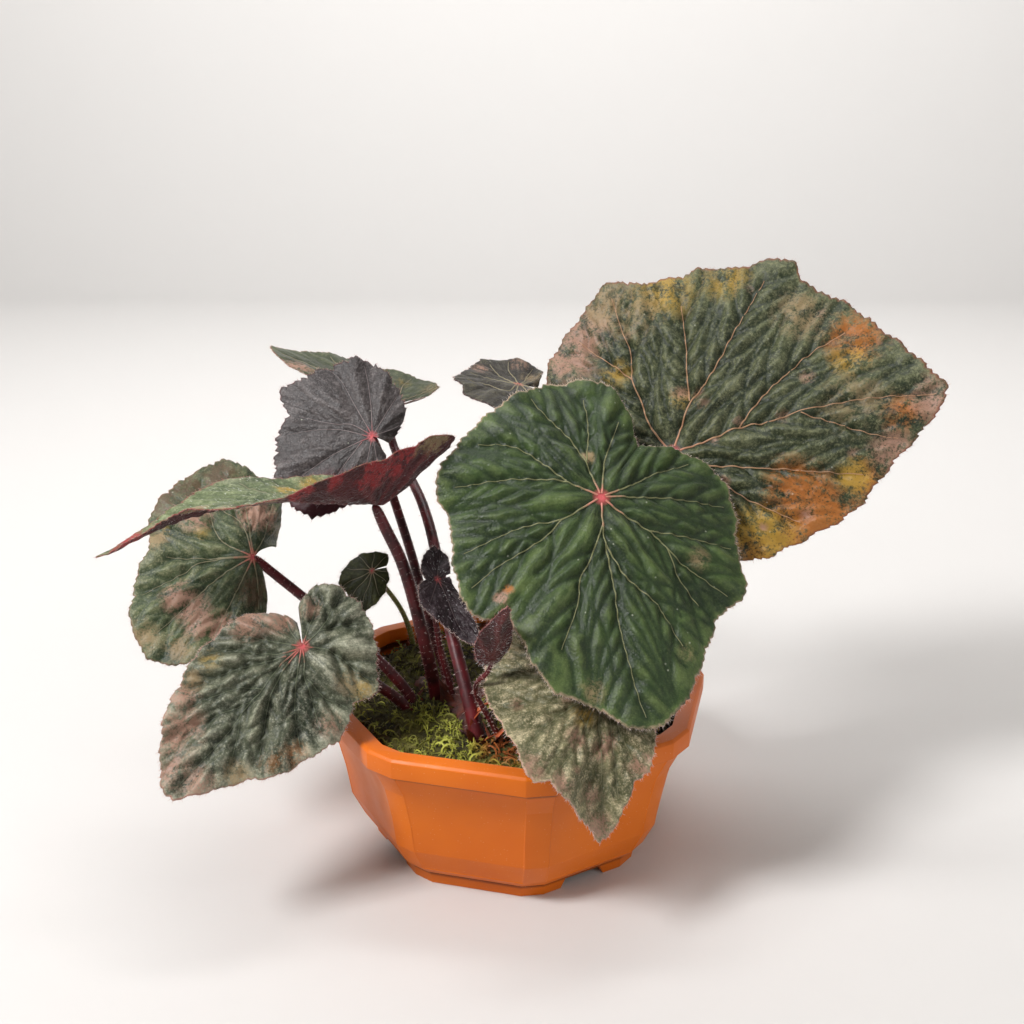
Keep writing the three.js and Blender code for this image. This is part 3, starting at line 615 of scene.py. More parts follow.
        "at": (-81, 60, 124), "lie": (-111, 53, -14), "sweep": (125, 478), "curl": 1.5,
        "girth": 1.3, "relief": (0.7, 0.6, 0.3, 5),
        "spokes": [150, 190, 235, 275, 310, 335, 360, 390, 425, 460],
    },
    "maroon": {
        "at": (-38, -20, 150), "lie": (-47, 39, 7), "sweep": (90, 438), "curl": 1.4, "girth": 1.4,
        "teeth": 2.2, "relief": (0.9, 0.9, 0.3, 5),
        "veins": [
            [(357, 3), (354, 32), (352, 65), (354, 90)], [(331, 3), (314, 60), (312, 88)],
            [(362, 3), (376, 40), (374, 80)],
        ],
        "spokes": [110, 145, 190, 240, 400],
    },
    "bud": {
        "at": (-10, -66, 126), "lie": (-72, -56, 0), "sweep": (186, 534), "curl": 1.2, "girth": 1.2,
        "relief": (0.5, 0.5, 0.3, 4),
        "spokes": [210, 250, 300, 335, 360, 385, 420, 470, 510],
    },
}
print(len(LEAVES), "leaves")


# %% Where a leaf lies
class LeafPlane:
    """Turns places on the leaf's own plane, in millimetres, into places in the scene."""

    def __init__(self, leaf):
        heading, dip, roll = (math.radians(angle) for angle in leaf["lie"])
        self.along = Vector((
            math.cos(heading) * math.cos(dip), math.sin(heading) * math.cos(dip), -math.sin(dip),
        ))
        level = Vector((-math.sin(heading), math.cos(heading), 0))
        self.left = Quaternion(self.along, roll) @ level
        self.out = self.along.cross(self.left)
        self.start = POT + Vector(leaf["at"]) * MM
        self.axes = np.array([self.along, self.left, self.out])

    def to_scene(self, points):
        return np.asarray(points, float) @ self.axes * MM + np.array(self.start)

    def to_leaf(self, points):
        return (np.asarray(points, float) - np.array(self.start)) @ self.axes.T / MM


# %% Feel the outline
DOWNWARD = Vector((0, 0, -1))
FAR_ABOVE = 300.0
FARTHEST = 175.0  # longer than any leaf reaches, in millimetres
NOTCH_INSET = 0.35  # degrees, to stay on the sheet at both edges of the notch
FEELING_STEP = 1.0  # degrees between the directions that are felt
HALVINGS = 13


def height_felt(tree, x, y):
    """Height of the sheet's middle over the plane, or None beside the sheet."""
    from_above = tree.ray_cast(Vector((x, y, FAR_ABOVE)), DOWNWARD)[0]
    from_below = tree.ray_cast(Vector((x, y, -FAR_ABOVE)), -DOWNWARD)[0]
    if from_above is None or from_below is None:
        return None
    return (from_above.z + from_below.z) / 2


def feel_outline(leaf, plane, node):
    """Direction, reach and rise of the margin, from one edge of the notch to the other."""
    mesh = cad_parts[node].data
    corners = plane.to_leaf([vertex.co for vertex in mesh.vertices])
    tree = BVHTree.FromPolygons(corners.tolist(), [list(face.vertices) for face in mesh.polygons])
    start, end = leaf["sweep"]
    count = int((end - start) / FEELING_STEP) + 1
    angles = np.linspace(start + NOTCH_INSET, end - NOTCH_INSET, count)
    reaches, rises = [], []
    for angle in np.radians(angles):
        ahead = Vector((math.cos(angle), math.sin(angle)))
        inside, outside = 1.0, FARTHEST
        for _ in range(HALVINGS):
            middle = (inside + outside) / 2
            if height_felt(tree, *(ahead * middle)) is None:
                outside = middle
            else:
                inside = middle
        reaches.append(inside)
        rises.append(height_felt(tree, *(ahead * inside)) or 0.0)
    return angles, np.array(reaches), np.array(rises)


# %% [markdown]
# ## Veins that grow across the blade
#
# Begonia veins fan out from the stalk like fingers and fork on their way. The main ones are
# drawn from the plant as short lists of points. Side veins leave them at a slant every few
# millimetres, and are grown here: each steps outward until it comes near another main vein
# or the margin. The blade sinks along all of these lines and swells between them, and that
# puckering is the most telling thing about a rex begonia's leaf.

# %% Draw the main veins
VEIN_STEP = 2.0  # millimetres between the points of a vein
CURVE_STEPS = 16  # between two given points of a smooth line
SPOKE_WAVE = 3  # degrees that a straight vein swings to either side


def along_line(line):
    """How far along a line each of its points lies."""
    return np.concatenate([[0], np.cumsum(np.linalg.norm(np.diff(line, axis=0), axis=1))])


def smooth_line(points, step):
    """Even points on a smooth curve through a few given ones."""
    points = np.asarray(points, float)
    padded = np.vstack([2 * points[0] - points[1], points, 2 * points[-1] - points[-2]])
    dense = []
    for i in range(1, len(padded) - 2):
        p0, p1, p2, p3 = padded[i - 1:i + 3]
        for t in np.linspace(0, 1, CURVE_STEPS, endpoint=False):
            dense.append(0.5 * (
                2 * p1 + (p2 - p0) * t + (2 * p0 - 5 * p1 + 4 * p2 - p3) * t ** 2
                + (3 * p1 - p0 - 3 * p2 + p3) * t ** 3
            ))
    dense = np.array(dense + [points[-1]])
    travelled = along_line(dense)
    stations = np.linspace(0, travelled[-1], max(3, int(travelled[-1] / step) + 1))
    return np.column_stack([np.interp(stations, travelled, column) for column in dense.T])


class Outline:
    """The margin as it was felt, for any direction."""

    def __init__(self, angles, reaches, rises):
        self.angles, self.reaches, self.rises = angles, reaches, rises

    def on_sweep(self, angle):
        """The same direction, counted so that it lies within the sweep."""
        angle = np.asarray(angle, float)
        return self.angles[0] + (angle - self.angles[0]) % 360

    def reach(self, angle):
        return np.interp(self.on_sweep(angle), self.angles, self.reaches)

    def point(self, degrees, percent):
        reach = float(self.reach(degrees)) * percent / 100
        angle = math.radians(degrees)
        return (reach * math.cos(angle), reach * math.sin(angle))

    def share(self, points):
        """How far towards the margin each point lies, from 0 to 1."""
        degrees = np.degrees(np.arctan2(points[:, 1], points[:, 0]))
        return np.hypot(points[:, 0], points[:, 1]) / self.reach(degrees)


def main_veins(leaf, outline):
    """The drawn veins and the straight ones, as even points on the leaf's plane."""
    drawn = list(leaf.get("veins", ()))
    for degrees in leaf.get("spokes", ()):
        bend = SPOKE_WAVE * math.sin(degrees)
        drawn.append([(degrees, 4), (degrees + bend, 35), (degrees - bend, 65), (degrees, 90)])
    return [smooth_line([outline.point(*p) for p in vein], VEIN_STEP) for vein in drawn]


# %% Grow the side veins
BEAD_STEP = 0.4  # millimetres between the points that distances are measured to


class VeinMap:
    """Beads along a set of veins, kept so that the nearest is quickly found."""

    def __init__(self, lines):
        beads = [smooth_line(line, BEAD_STEP) for line in lines]
        self.owner = np.repeat(np.arange(len(beads)), [len(row) for row in beads])
        self.tree = KDTree(len(self.owner))
        for i, (x, y) in enumerate(np.vstack(beads)):
            self.tree.insert((x, y, 0), i)
        self.tree.balance()

    def distance(self, points):
        return np.array([self.tree.find((x, y, 0))[2] for x, y in points])

    def crowded(self, point, number, clear):
        """Whether any vein but the numbered one comes closer than this to the point."""
        found = self.tree.find_range((point[0], point[1], 0), clear)
        return any(self.owner[index] != number for _, index, _ in found)


SIDE_SLANT = 42  # degrees between a vein and its side veins
SLANT_SPREAD = 6
SIDE_BEND = 1.6  # degrees that a side vein turns back at each step
SIDE_CLEAR = 2.2  # millimetres left before the next main vein
SIDE_LONGEST = 22  # steps
SIDE_END = 0.97  # share of the reach where the last ones stop
SIDE_GAPS = (0.35, 0.75)  # least and largest gap along a vein, as shares of the leaf's own


def side_veins(side_step, outline, lines, veins, rng):
    """Lines that leave the main veins to either side in turn."""
    grown = []
    for number, line in enumerate(lines):
        k, i = 0, 3
        while i < len(line) - 2:
            k += 1
            side = 1 if k % 2 else -1
            run = line[i + 1] - line[i]
            heading = math.atan2(run[1], run[0])
            heading += side * math.radians(SIDE_SLANT + rng.uniform(-SLANT_SPREAD, SLANT_SPREAD))
            path = [line[i]]
            for _ in range(SIDE_LONGEST):
                tip = path[-1] + VEIN_STEP * np.array([math.cos(heading), math.sin(heading)])
                near_margin = outline.share(tip[None, :])[0] > SIDE_END
                if near_margin or veins.crowded(tip, number, SIDE_CLEAR):
                    break
                path.append(tip)
                heading -= side * math.radians(SIDE_BEND)
            if len(path) > 2:
                grown.append(np.array(path))
            i += max(1, round(side_step * rng.uniform(*SIDE_GAPS) / VEIN_STEP))
    return grown


# %% [markdown]
# ## The blade itself
#
# A grid is the right start for a sheet: its long side becomes the direction round the stalk
# and its short side the way from the stalk to the margin. The grid's points are then moved
# in code, because thousands of them follow one rule: the felt form, plus the swellings
# between the veins, plus small teeth at the margin. Solidify gives the sheet its thickness
# and puts the wine-red underside on its back.

# %% Teeth of the margin
TOOTH_STEP = 4.2  # millimetres from tooth to tooth
TOOTH_DEPTH = 1.3
TOOTH_SIZES = (0.3, 1.4)
TOOTH_POINT = 1.25  # how steeply a tooth falls back from its point
NEAR_STALK = 30  # millimetres of reach under which teeth shrink
STATION_STEP = 1.25  # millimetres between the grid's columns along the margin
RING_STEP = 1.5  # and between its rows, outward


def toothed_stations(outline, fineness, teeth, rng):
    """Directions and reaches at even steps along the margin, with small pointed teeth."""
    radians = np.radians(outline.angles)
    margin = np.column_stack([
        outline.reaches * np.cos(radians), outline.reaches * np.sin(radians)
    ])
    travelled = along_line(margin)
    count = int(travelled[-1] / (STATION_STEP * fineness))
    stations = np.linspace(0, travelled[-1], count + 1)
    angles = np.interp(stations, travelled, outline.angles)
    reaches = np.interp(stations, travelled, outline.reaches)
    rises = np.interp(stations, travelled, outline.rises)
    wander = np.cumsum(rng.uniform(0.5, 1.5, count + 1)) * STATION_STEP * fineness
    tooth = wander / (TOOTH_STEP * fineness ** 0.5)
    size = rng.uniform(*TOOTH_SIZES, int(tooth[-1]) + 2)[tooth.astype(int)]
    depth = TOOTH_DEPTH * teeth * fineness * size * np.minimum(1, reaches / NEAR_STALK)
    bite = depth * np.abs(1 - (tooth % 1) * TOOTH_POINT).clip(0, 1)
    return angles, reaches - bite, rises


# %% Heights of the blade
PAD_MARGIN = 0.8  # the blade lies flat this far round the stalk, in millimetres
PAD_FADE = 12  # and swells fully this much farther out
MARGIN_CALM = 0.6  # share of the swelling that is lost towards the margin
FOLD_FROM = 10  # millimetres of rise where a fold begins
FOLD_OVER = 15
VEIN_VALLEY = 4.2  # millimetres from a main vein to full swelling
SIDE_VALLEY = 2.6
CRINKLE_SIZE = 4.6


def valley(distance, width):
    """0 on a vein, rising to 1 well away from it."""
    return 1 - np.exp(-(distance / width) ** 2)


def blade_heights(leaf, spread, share, farthest, rise, from_main, from_side):
    """Heights over the leaf's plane: the rise that was felt, and the swellings."""
    swelling, pleat, dent, _ = leaf["relief"]
    past_pad = np.maximum(0, share * farthest - leaf["girth"] - PAD_MARGIN)
    rising = past_pad / np.maximum(farthest - leaf["girth"] - PAD_MARGIN, 1)
    fade = np.minimum(1, past_pad / PAD_FADE) * (1 - MARGIN_CALM * share ** 6)
    crinkle = dent * np.array([
        noise.noise((x / CRINKLE_SIZE, y / CRINKLE_SIZE, farthest[0])) for x, y in spread
    ])
    relief = swelling * valley(from_main, VEIN_VALLEY) + crinkle
    relief += pleat * (valley(from_side, SIDE_VALLEY) - 0.5)
    folded = ((rise - FOLD_FROM) / FOLD_OVER).clip(0, 1)
    curl = leaf["curl"] + (leaf.get("fold", leaf["curl"]) - leaf["curl"]) * folded
    return rise * rising ** curl + fade * relief


# %% Aged patches
TINT_COLOURS = {
    "wine": seen(58, 14, 22), "orange": seen(162, 96, 38), "yellow": seen(162, 130, 52),
    "pink": seen(156, 120, 102), "tan": seen(140, 120, 88), "brown": seen(84, 66, 48),
    "crimson": seen(150, 42, 46),
}
FRECKLE_PLACES = (15, 92)  # percent of the reach
FRECKLE_SIZES = (2.5, 5)
FRECKLE_STRENGTHS = (0.3, 0.6)


def set_attribute(mesh, name, values):
    layer = mesh.attributes.new(name, "FLOAT", "POINT")
    layer.data.foreach_set("value", np.asarray(values, np.float32))


def set_tints(mesh, leaf, outline, spread, rng):
    """Notes at each point how strongly each tint colours it."""
    ranges = (leaf["sweep"], FRECKLE_PLACES, FRECKLE_SIZES, FRECKLE_STRENGTHS)
    count = leaf.get("freckles", 0)
    freckles = [tuple(rng.uniform(*limits) for limits in ranges) for _ in range(count)]
    for tint in TINT_COLOURS:
        amount = np.zeros(len(spread))
        spots = leaf.get("spots", {}).get(tint, []) + (freckles if tint == "pink" else [])
        for degrees, percent, radius, strength in spots:
            away = np.hypot(*(spread - outline.point(degrees, percent)).T)
            amount = np.maximum(amount, strength * np.exp(-(away / radius) ** 2))
        set_attribute(mesh, tint, amount)


# %% Shape one blade
FEWEST_RINGS = 10
LARGEST_GIRTH = 3.2


def set_spokes(mesh, turn, reach):
    """A second coordinate for streaks: round the stalk in X, outward in Y."""
    loops = np.empty(len(mesh.loops), int)
    mesh.loops.foreach_get("vertex_index", loops)
    on_spokes = np.column_stack([turn / (2 * math.pi), reach / 100])[loops]
    mesh.uv_layers.active.data.foreach_set("uv", on_spokes.ravel())
    mesh.uv_layers.active.name = "spokes"


def shape_blade(name, leaf, plane, fineness, rng):
    """The sheet, its outline and main veins, and its points on the leaf's plane."""
    outline = Outline(*feel_outline(leaf, plane, "blade_" + name))
    lines = main_veins(leaf, outline)
    mains = VeinMap(lines)
    sides = VeinMap(side_veins(leaf["relief"][3], outline, lines, mains, rng))
    angles, reaches, rises = toothed_stations(outline, fineness, leaf.get("teeth", 1), rng)
    lap = leaf.get("lap", 0)
    angles = np.interp(angles, (angles[0], angles[-1]), (angles[0] - lap, angles[-1] + lap))
    columns = len(angles) - 1
    rings = max(FEWEST_RINGS, int(reaches.max() / (RING_STEP * fineness)))
    sheet = add(
        bpy.ops.mesh.primitive_grid_add, x_subdivisions=columns, y_subdivisions=rings, size=2
    )
    mesh = sheet.data

    flat = np.empty(len(mesh.vertices) * 3)
    mesh.vertices.foreach_get("co", flat)
    flat = (flat.reshape(-1, 3) + 1) / 2
    column = np.rint(flat[:, 0] * columns).astype(int)
    share, turn, farthest = flat[:, 1], np.radians(angles[column]), reaches[column]
    reach = share * farthest
    spread = np.column_stack([reach * np.cos(turn), reach * np.sin(turn)])
    from_main, from_side = mains.distance(spread), sides.distance(spread)
    height = blade_heights(leaf, spread, share, farthest, rises[column], from_main, from_side)
    points = np.column_stack([spread, height])
    mesh.vertices.foreach_set("co", plane.to_scene(points).ravel())

    set_attribute(mesh, "share", share)
    set_attribute(mesh, "from_main", from_main)
    set_attribute(mesh, "from_side", from_side)
    set_attribute(mesh, "from_star", reach * LARGEST_GIRTH / leaf["girth"])
    set_tints(mesh, leaf, outline, spread, rng)
    set_spokes(mesh, turn, reach)
    return sheet, outline, lines, points.reshape(rings + 1, columns + 1, 3)


# %% Give the sheet its thickness
BLADE_THICKNESS = 0.6


def close_and_thicken(sheet):
    """Closes the pole at the stalk, turns the faces upward and adds the underside."""
    open_mesh(sheet)
    bpy.ops.mesh.remove_doubles(threshold=MERGED)
    bpy.ops.mesh.flip_normals()
    close_mesh()
    apply_modifier(
        sheet, "SOLIDIFY", thickness=BLADE_THICKNESS * MM, offset=0,
        use_rim=True, material_offset=1, material_offset_rim=0,
    )
    bpy.ops.object.shade_smooth()


# %% [markdown]
# ## Finishes of the leaves
#
# Each leaf has its own greens, but all share one build. A coarse cloud moves between a dark
# and a middle green, a very fine grain adds the silvery pebbling, and streaks that run
# outward from the stalk follow the spokes. Shade is painted into the lines between the
# swellings and highlights onto the swellings, and the patches where the real leaf has aged
# are tinted through a broken-up mask, so that no patch has a smooth edge. The back is dull
# wine red with paler ribs.

# %% Upper side
DEEP_TINTS = ("wine", "crimson")
STALK_STAR = seen(206, 92, 96)
SCAR = seen(186, 188, 170)
CLOUD, SCARS, TEAR, MOTTLE, DUST, GRAIN = 50, 100, 190, 330, 800, 850  # repeats in a metre
STREAKS = (60, 7, 1)  # repeats round the stalk and outward


def aged_edges(finish, streaks, dust):
    """A broken-up mask, so that no patch has a smooth edge."""
    torn = finish.map(finish.noise(TEAR, 5, 0.75), 0.35, 0.65, 0.25, 1.6)
    broken = finish.times(torn, finish.map(dust, 0.36, 0.64, 0.3, 1.6))
    return finish.times(broken, finish.map(streaks, 0.36, 0.6, 0.35, 1.3))


def upper_finish(name, dark, middle, pale, edge, speckle, mottle):
    """Greens from dark to pale, with aged patches, a margin and a star over them."""
    finish = Finish(name)
    stretch = finish.node("ShaderNodeVectorMath", operation="MULTIPLY")
    finish.put(finish.node("ShaderNodeUVMap", uv_map="spokes").outputs["UV"], stretch.inputs[0])
    stretch.inputs[1].default_value = STREAKS
    streaks = finish.noise(1, 4, 0.65, stretch.outputs[0])
    dust = finish.noise(DUST, 4, 0.7)
    mottling = finish.noise(MOTTLE, 5, 0.75)
    grain = finish.cells(GRAIN)
    from_side = finish.attribute("from_side")
    from_main = finish.attribute("from_main")

    # Greens with streaks and pebbling, with painted highlights on the swellings and painted shade
    # in the valleys.
    crest = finish.times(finish.map(from_side, 0.5, 3.6), finish.map(from_main, 0.5, 5))
    painted_highlight = finish.times(crest, finish.map(streaks, 0.4, 0.6, 0.1, 1))
    green = finish.blend(finish.noise(CLOUD, 4, 0.6), 0.35, 0.65, dark, middle)
    green = finish.mix(finish.times(painted_highlight, 0.4), green, pale)
    powder = finish.times(finish.map(mottling, 0.42, 0.58), finish.map(dust, 0.46, 0.58))
    green = finish.mix(finish.times(powder, mottle), green, pale)
    pits = finish.times(finish.map(mottling, 0.48, 0.38), 0.15 + 0.7 * mottle)
    green = finish.mix(pits, green, dark)
    flecks = finish.times(finish.map(grain, 0.42, 0.12), finish.map(streaks, 0.35, 0.6))
    green = finish.mix(finish.times(flecks, speckle), green, pale)
    # Painted shade along the side veins and along the main veins.
    green = finish.mix(finish.map(from_side, 0.1, 1.6, 0.55, 0), green, dark)
    green = finish.mix(finish.map(from_main, 0.3, 3.0, 0.75, 0), green, dark)

    # Over them lie the aged patches, the margin, old scars and the star over the stalk.
    broken = aged_edges(finish, streaks, dust)
    for tint, colour in TINT_COLOURS.items():
        patch = finish.times(finish.attribute(tint), broken)
        cover = 0.96 if tint in DEEP_TINTS else 0.85
        green = finish.mix(finish.map(patch, 0.1, 0.5, 0, cover), green, colour)
    rim = finish.map(finish.attribute("share"), 0.985, 1.0)
    green = finish.mix(finish.times(rim, broken), green, edge)
    scar = finish.times(finish.map(finish.cells(SCARS), 0.03, 0.06, 0.8, 0), streaks)
    green = finish.mix(scar, green, SCAR)
    star = finish.map(finish.attribute("from_star"), 1.2, 5.0, 0.9, 0)
    finish.colour(finish.mix(star, green, STALK_STAR))

    relief = finish.maths("ADD", finish.times(grain, 0.3), finish.times(mottling, 0.5))
    finish.bump(relief, 0.0008, 0.7)
    finish.shader_input("Roughness", finish.map(mottling, 0.35, 0.65, 0.36, 0.56))
    finish.shader_input("Specular IOR Level", 0.3)
    finish.shader_input("Sheen Weight", 0.06)
    finish.shader_input("Sheen Roughness", 0.4)
    return finish.material


# Dark, middle and pale tone, the margin's colour, and the shares of specks and of mottling.
GREENS = {
    "front": ((22, 37, 18), (50, 70, 32), (114, 130, 74), (176, 150, 128), 0.2, 0.12),
    "tall": ((24, 34, 20), (52, 60, 36), (126, 128, 94), (128, 70, 54), 0.4, 0.6),
    "rim": ((72, 74, 48), (140, 134, 98), (216, 200, 166), (196, 152, 136), 0.7, 0.6),
    "low": ((40, 47, 34), (104, 108, 86), (196, 194, 172), (166, 118, 104), 0.4, 0.35),
    "left": ((32, 46, 26), (78, 90, 58), (158, 156, 122), (128, 96, 78), 0.5, 0.35),
    "wing": ((58, 72, 42), (104, 116, 78), (160, 164, 132), (120, 52, 46), 0.6, 0.6),
    "silver": ((36, 30, 30), (70, 63, 62), (122, 115, 114), (84, 44, 46), 0.6, 0.5),
    "plate": ((34, 42, 24), (62, 70, 44), (104, 108, 78), (134, 92, 74), 0.5, 0.6),
    "back": ((20, 15, 12), (42, 36, 28), (96, 92, 74), (64, 30, 32), 0.7, 0.8),
    "olive": ((30, 36, 10), (58, 62, 24), (104, 106, 56), (56, 34, 22), 0.3, 0.4),
    "maroon": ((30, 18, 22), (52, 38, 42), (130, 120, 124), (84, 32, 40), 0.6, 0.3),
    "bud": ((40, 8, 10), (82, 18, 20), (134, 52, 46), (170, 120, 116), 0.6, 0.5),
}
UPPER = {
    name: upper_finish(name + " leaf", *[seen(*tone) for tone in tones], speckle, mottle)
    for name, (*tones, speckle, mottle) in GREENS.items()
}
print(len(UPPER), "finishes for the leaves' upper sides")

# %% Underside and veins
def underside_finish():
    finish = Finish("wine red underside", 0.55)
    red = finish.blend(finish.noise(60, 4), 0.35, 0.68, seen(46, 12, 18), seen(80, 26, 32))
    rib = finish.map(finish.attribute("from_main"), 0.3, 1.8, 0.6, 0)
    red = finish.mix(rib, red, seen(112, 50, 50))
    torn = finish.map(finish.noise(TEAR, 5, 0.75), 0.4, 0.6, 0.1, 1.5)
    for tint in ("crimson", "tan"):
        patch = finish.times(finish.attribute(tint), torn)
        red = finish.mix(finish.map(patch, 0.15, 0.6, 0, 0.85), red, TINT_COLOURS[tint])
    finish.colour(red)
    net = finish.cells(420, "DISTANCE_TO_EDGE")
    finish.bump(finish.map(net, 0.0, 0.25), 0.0006, 0.7)
    finish.shader_input("Sheen Weight", 0.1)
    return finish.material


def vein_finish(name, near, far):
    """A finish that changes soon after the stalk, with an uneven border."""
    finish = Finish(name)
    waver = finish.map(finish.noise(300, 3), 0.3, 0.7, 0, 0.12)
    outward = finish.maths("ADD", finish.attribute("share"), waver)
    finish.colour(finish.blend(outward, 0.05, 0.22, near, far))
    return finish.material


UNDERSIDE = underside_finish()
VEIN_COLOURS = {  # at the stalk and farther out
    "front": ((206, 122, 112), (116, 116, 78)), "tall": ((190, 130, 104), (166, 128, 96)),
    "low": ((200, 92, 88), (92, 98, 76)), "left": ((208, 112, 100), (122, 116, 88)),
    "rim": ((196, 130, 112), (118, 114, 84)), "silver": ((184, 66, 72), (122, 108, 107)),
    "maroon": ((140, 56, 56), (66, 50, 50)), "other": ((184, 92, 84), (128, 120, 94)),
}
VEINS = {
    name: vein_finish(name + " veins", seen(*near), seen(*far))
    for name, (near, far) in VEIN_COLOURS.items()
}
print(len(VEINS), "finishes for the veins")

# %% [markdown]
# ## Veins and hairs on the finished blade
#
# Main veins are thin cords lying in the valleys. Painted lines would blur at this grid's
# size, so they are laid as curves with a round section that tapers outward, and then turned
# into mesh. Hairs are far too many to shape one by one: one three-sided cone is modelled and
# its copies are turned, scaled and set in one go, along the margin of every leaf and over
# both sides of the three downy ones.

# %% Lay the veins
VEIN_ROOT = 0.6  # radius at the stalk, in millimetres, on the largest leaves
VEIN_TIP = 0.2
VEIN_SINK = 0.02
CORD_STEP = 1.0  # millimetres between the rings of a cord


def lay_veins(name, lines, surface, plane, outline, scale):
    """Round cords that lie on the sheet and taper outward, as one mesh."""
    curve = bpy.data.curves.new(name, "CURVE")
    curve.dimensions = "3D"
    curve.bevel_depth = 1.0
    curve.bevel_resolution = 1
    curve.use_fill_caps = True
    for line in lines:
        felt = [surface.ray_cast(Vector((x, y, FAR_ABOVE)), DOWNWARD)[0]
                for x, y in smooth_line(line, CORD_STEP)]
        kept = np.array([tuple(place) for place in felt if place is not None])
        if len(kept) < 3:
            continue
        share = outline.share(kept[:, :2])
        kept[:, 2] += BLADE_THICKNESS / 2 - VEIN_SINK
        spline = curve.splines.new("POLY")
        spline.points.add(len(kept) - 1)
        placed = np.column_stack([plane.to_scene(kept), np.ones(len(kept))])
        spline.points.foreach_set("co", placed.ravel())
        width = VEIN_TIP + (VEIN_ROOT - VEIN_TIP) * (1 - share).clip(0, 1) ** 1.6
        spline.points.foreach_set("radius", scale * width * MM)
    veins = bpy.data.objects.new(name, curve)
    bpy.context.scene.collection.objects.link(veins)
    on_its_own(veins)
    bpy.ops.object.convert(target="MESH")
    veins = bpy.context.object
    bpy.ops.object.shade_smooth()
    flat = plane.to_leaf([vertex.co for vertex in veins.data.vertices])[:, :2]
    set_attribute(veins.data, "share", outline.share(flat))
    return veins


# %% Set many copies of a small shape
def scatter(name, pattern, matrices, tone, material):
    """One mesh from copies of a pattern object, each moved by its own 4 x 4 matrix."""
    mesh = pattern.data
    corners = np.array([(*vertex.co, 1) for vertex in mesh.vertices])
    faces = [list(face.vertices) for face in mesh.polygons]
    placed = np.einsum("nij,vj->nvi", np.asarray(matrices, float), corners)[:, :, :3]
    size = len(corners)
    all_faces = [[i + copy * size for i in face] for copy in range(len(matrices)) for face in faces]
    result = bpy.data.meshes.new(name)
    result.from_pydata(placed.reshape(-1, 3).tolist(), [], all_faces)
    result.materials.append(material)
    set_attribute(result, "tone", np.repeat(tone, size))
    obj = bpy.data.objects.new(name, result)
    bpy.context.scene.collection.objects.link(obj)
    return obj


def pointing(place, direction, length, width, spin=0.0):
    """A matrix that stands a pattern of height 1 and radius 1 at a place, along a direction."""
    turn = Vector(direction).to_track_quat("Z", "Y").to_matrix()
    turn = turn @ Matrix.Rotation(spin, 3, "Z")
    matrix = (turn @ Matrix.Diagonal((width, width, length))).to_4x4()
    matrix.translation = Vector(place)
    return matrix


def cone(sides, foot, tip=0, height=1, flatness=1):
    """A cone that stands on the origin, squeezed along Y."""
    obj = add(
        bpy.ops.mesh.primitive_cone_add, vertices=sides, radius1=foot, radius2=tip,
        depth=height, location=(0, 0, height / 2),
    )
    obj.scale.y = flatness
    bpy.ops.object.transform_apply(location=True, rotation=True, scale=True)
    return obj


def join(*objects):
    """Joins the later objects into the first."""
    bpy.ops.object.select_all(action="DESELECT")
    for obj in objects:
        obj.select_set(True)
    bpy.context.view_layer.objects.active = objects[0]
    bpy.ops.object.join()
    return objects[0]


# %% Hairs along the margin and over a leaf
HAIR_WIDTH = 0.1 * MM
HAIR_SIZES = (0.5, 1.3)
TONE_SPREAD = 0.3
REDNESS = {"bud": 0.8, "wing": 0.75, "silver": 0.7, "maroon": 0.2, "low": 0.4, "tall": 0.35}
USUAL_REDNESS = 0.2
DOWN_GREY = (0.8, 0.8, 0.8, 1)

hair_pattern = cone(3, 1)
hair = Finish("pale hairs", 0.6)
hair.colour(hair.mix(hair.attribute("tone"), seen(232, 218, 208), seen(150, 62, 64)))
down = Finish("pale matte down", 1.0)
down.colour(DOWN_GREY)
down.shader_input("Specular IOR Level", 0)


def unit(step):
    return step / max(np.linalg.norm(step), 1e-6)


def margin_roots(grid, spacing, rng):
    """Places and directions on the leaf's plane, three to a spot, outward from the teeth."""
    edge, inner = grid[-1], grid[-3]
    for i in range(0, len(edge), max(1, round(spacing / STATION_STEP))):
        outward = unit(edge[i] - inner[i])
        for _ in range(3):
            yield edge[i] - 0.4 * outward, outward + rng.normal(0, 0.45, 3)


def downy_roots(grid, count, rng):
    """Places and directions on both sides of a leaf, lying outward."""
    rings, spokes = len(grid) - 1, len(grid[0])
    for _ in range(count):
        ring = int(rings * rng.uniform(0.1, 1) ** 0.6) - 1
        spoke = rng.integers(spokes)
        outward = unit(grid[ring + 1, spoke] - grid[ring, spoke])
        side = rng.choice((-1, 1))
        lean = outward + (0, 0, 0.5 * side) + rng.normal(0, 0.25, 3)
        yield grid[ring, spoke] + (0, 0, 0.2 * side), lean


def leaf_hairs(name, finish, roots, plane, length, redness, rng):
    """Hairs of about this length in millimetres, one on each root."""
    matrices, tones = [], []
    for place, lean in roots:
        size = length * rng.uniform(*HAIR_SIZES) * MM
        matrices.append(pointing(plane.to_scene(place), lean @ plane.axes, size, HAIR_WIDTH))
        tones.append(np.clip(redness + rng.uniform(-TONE_SPREAD, TONE_SPREAD), 0, 1))
    return scatter(name, hair_pattern, matrices, tones, finish.material)


# %% Make all the leaves
SEED = 11
SMALL = ("olive", "maroon", "bud")
SMALL_GRID = 0.55
FINE_VEINS = 0.8  # power by which veins get thinner on a finer grid
MARGIN_HAIR = 2.0
MARGIN_GAP = 1.3
DOWNY = {"maroon": (200, 1.4), "bud": (500, 2.2), "wing": (1400, 1.4)}  # number and length
SLOTS = {
    "front": "leaf_dark_green", "plate": "leaf_dark_green", "tall": "leaf_mottled",
    "left": "leaf_mottled", "back": "leaf_mottled", "rim": "leaf_grey_green",
    "low": "leaf_grey_green", "wing": "leaf_maroon", "maroon": "leaf_maroon",
    "silver": "leaf_silver", "olive": "leaf_olive", "bud": "leaf_red",
}

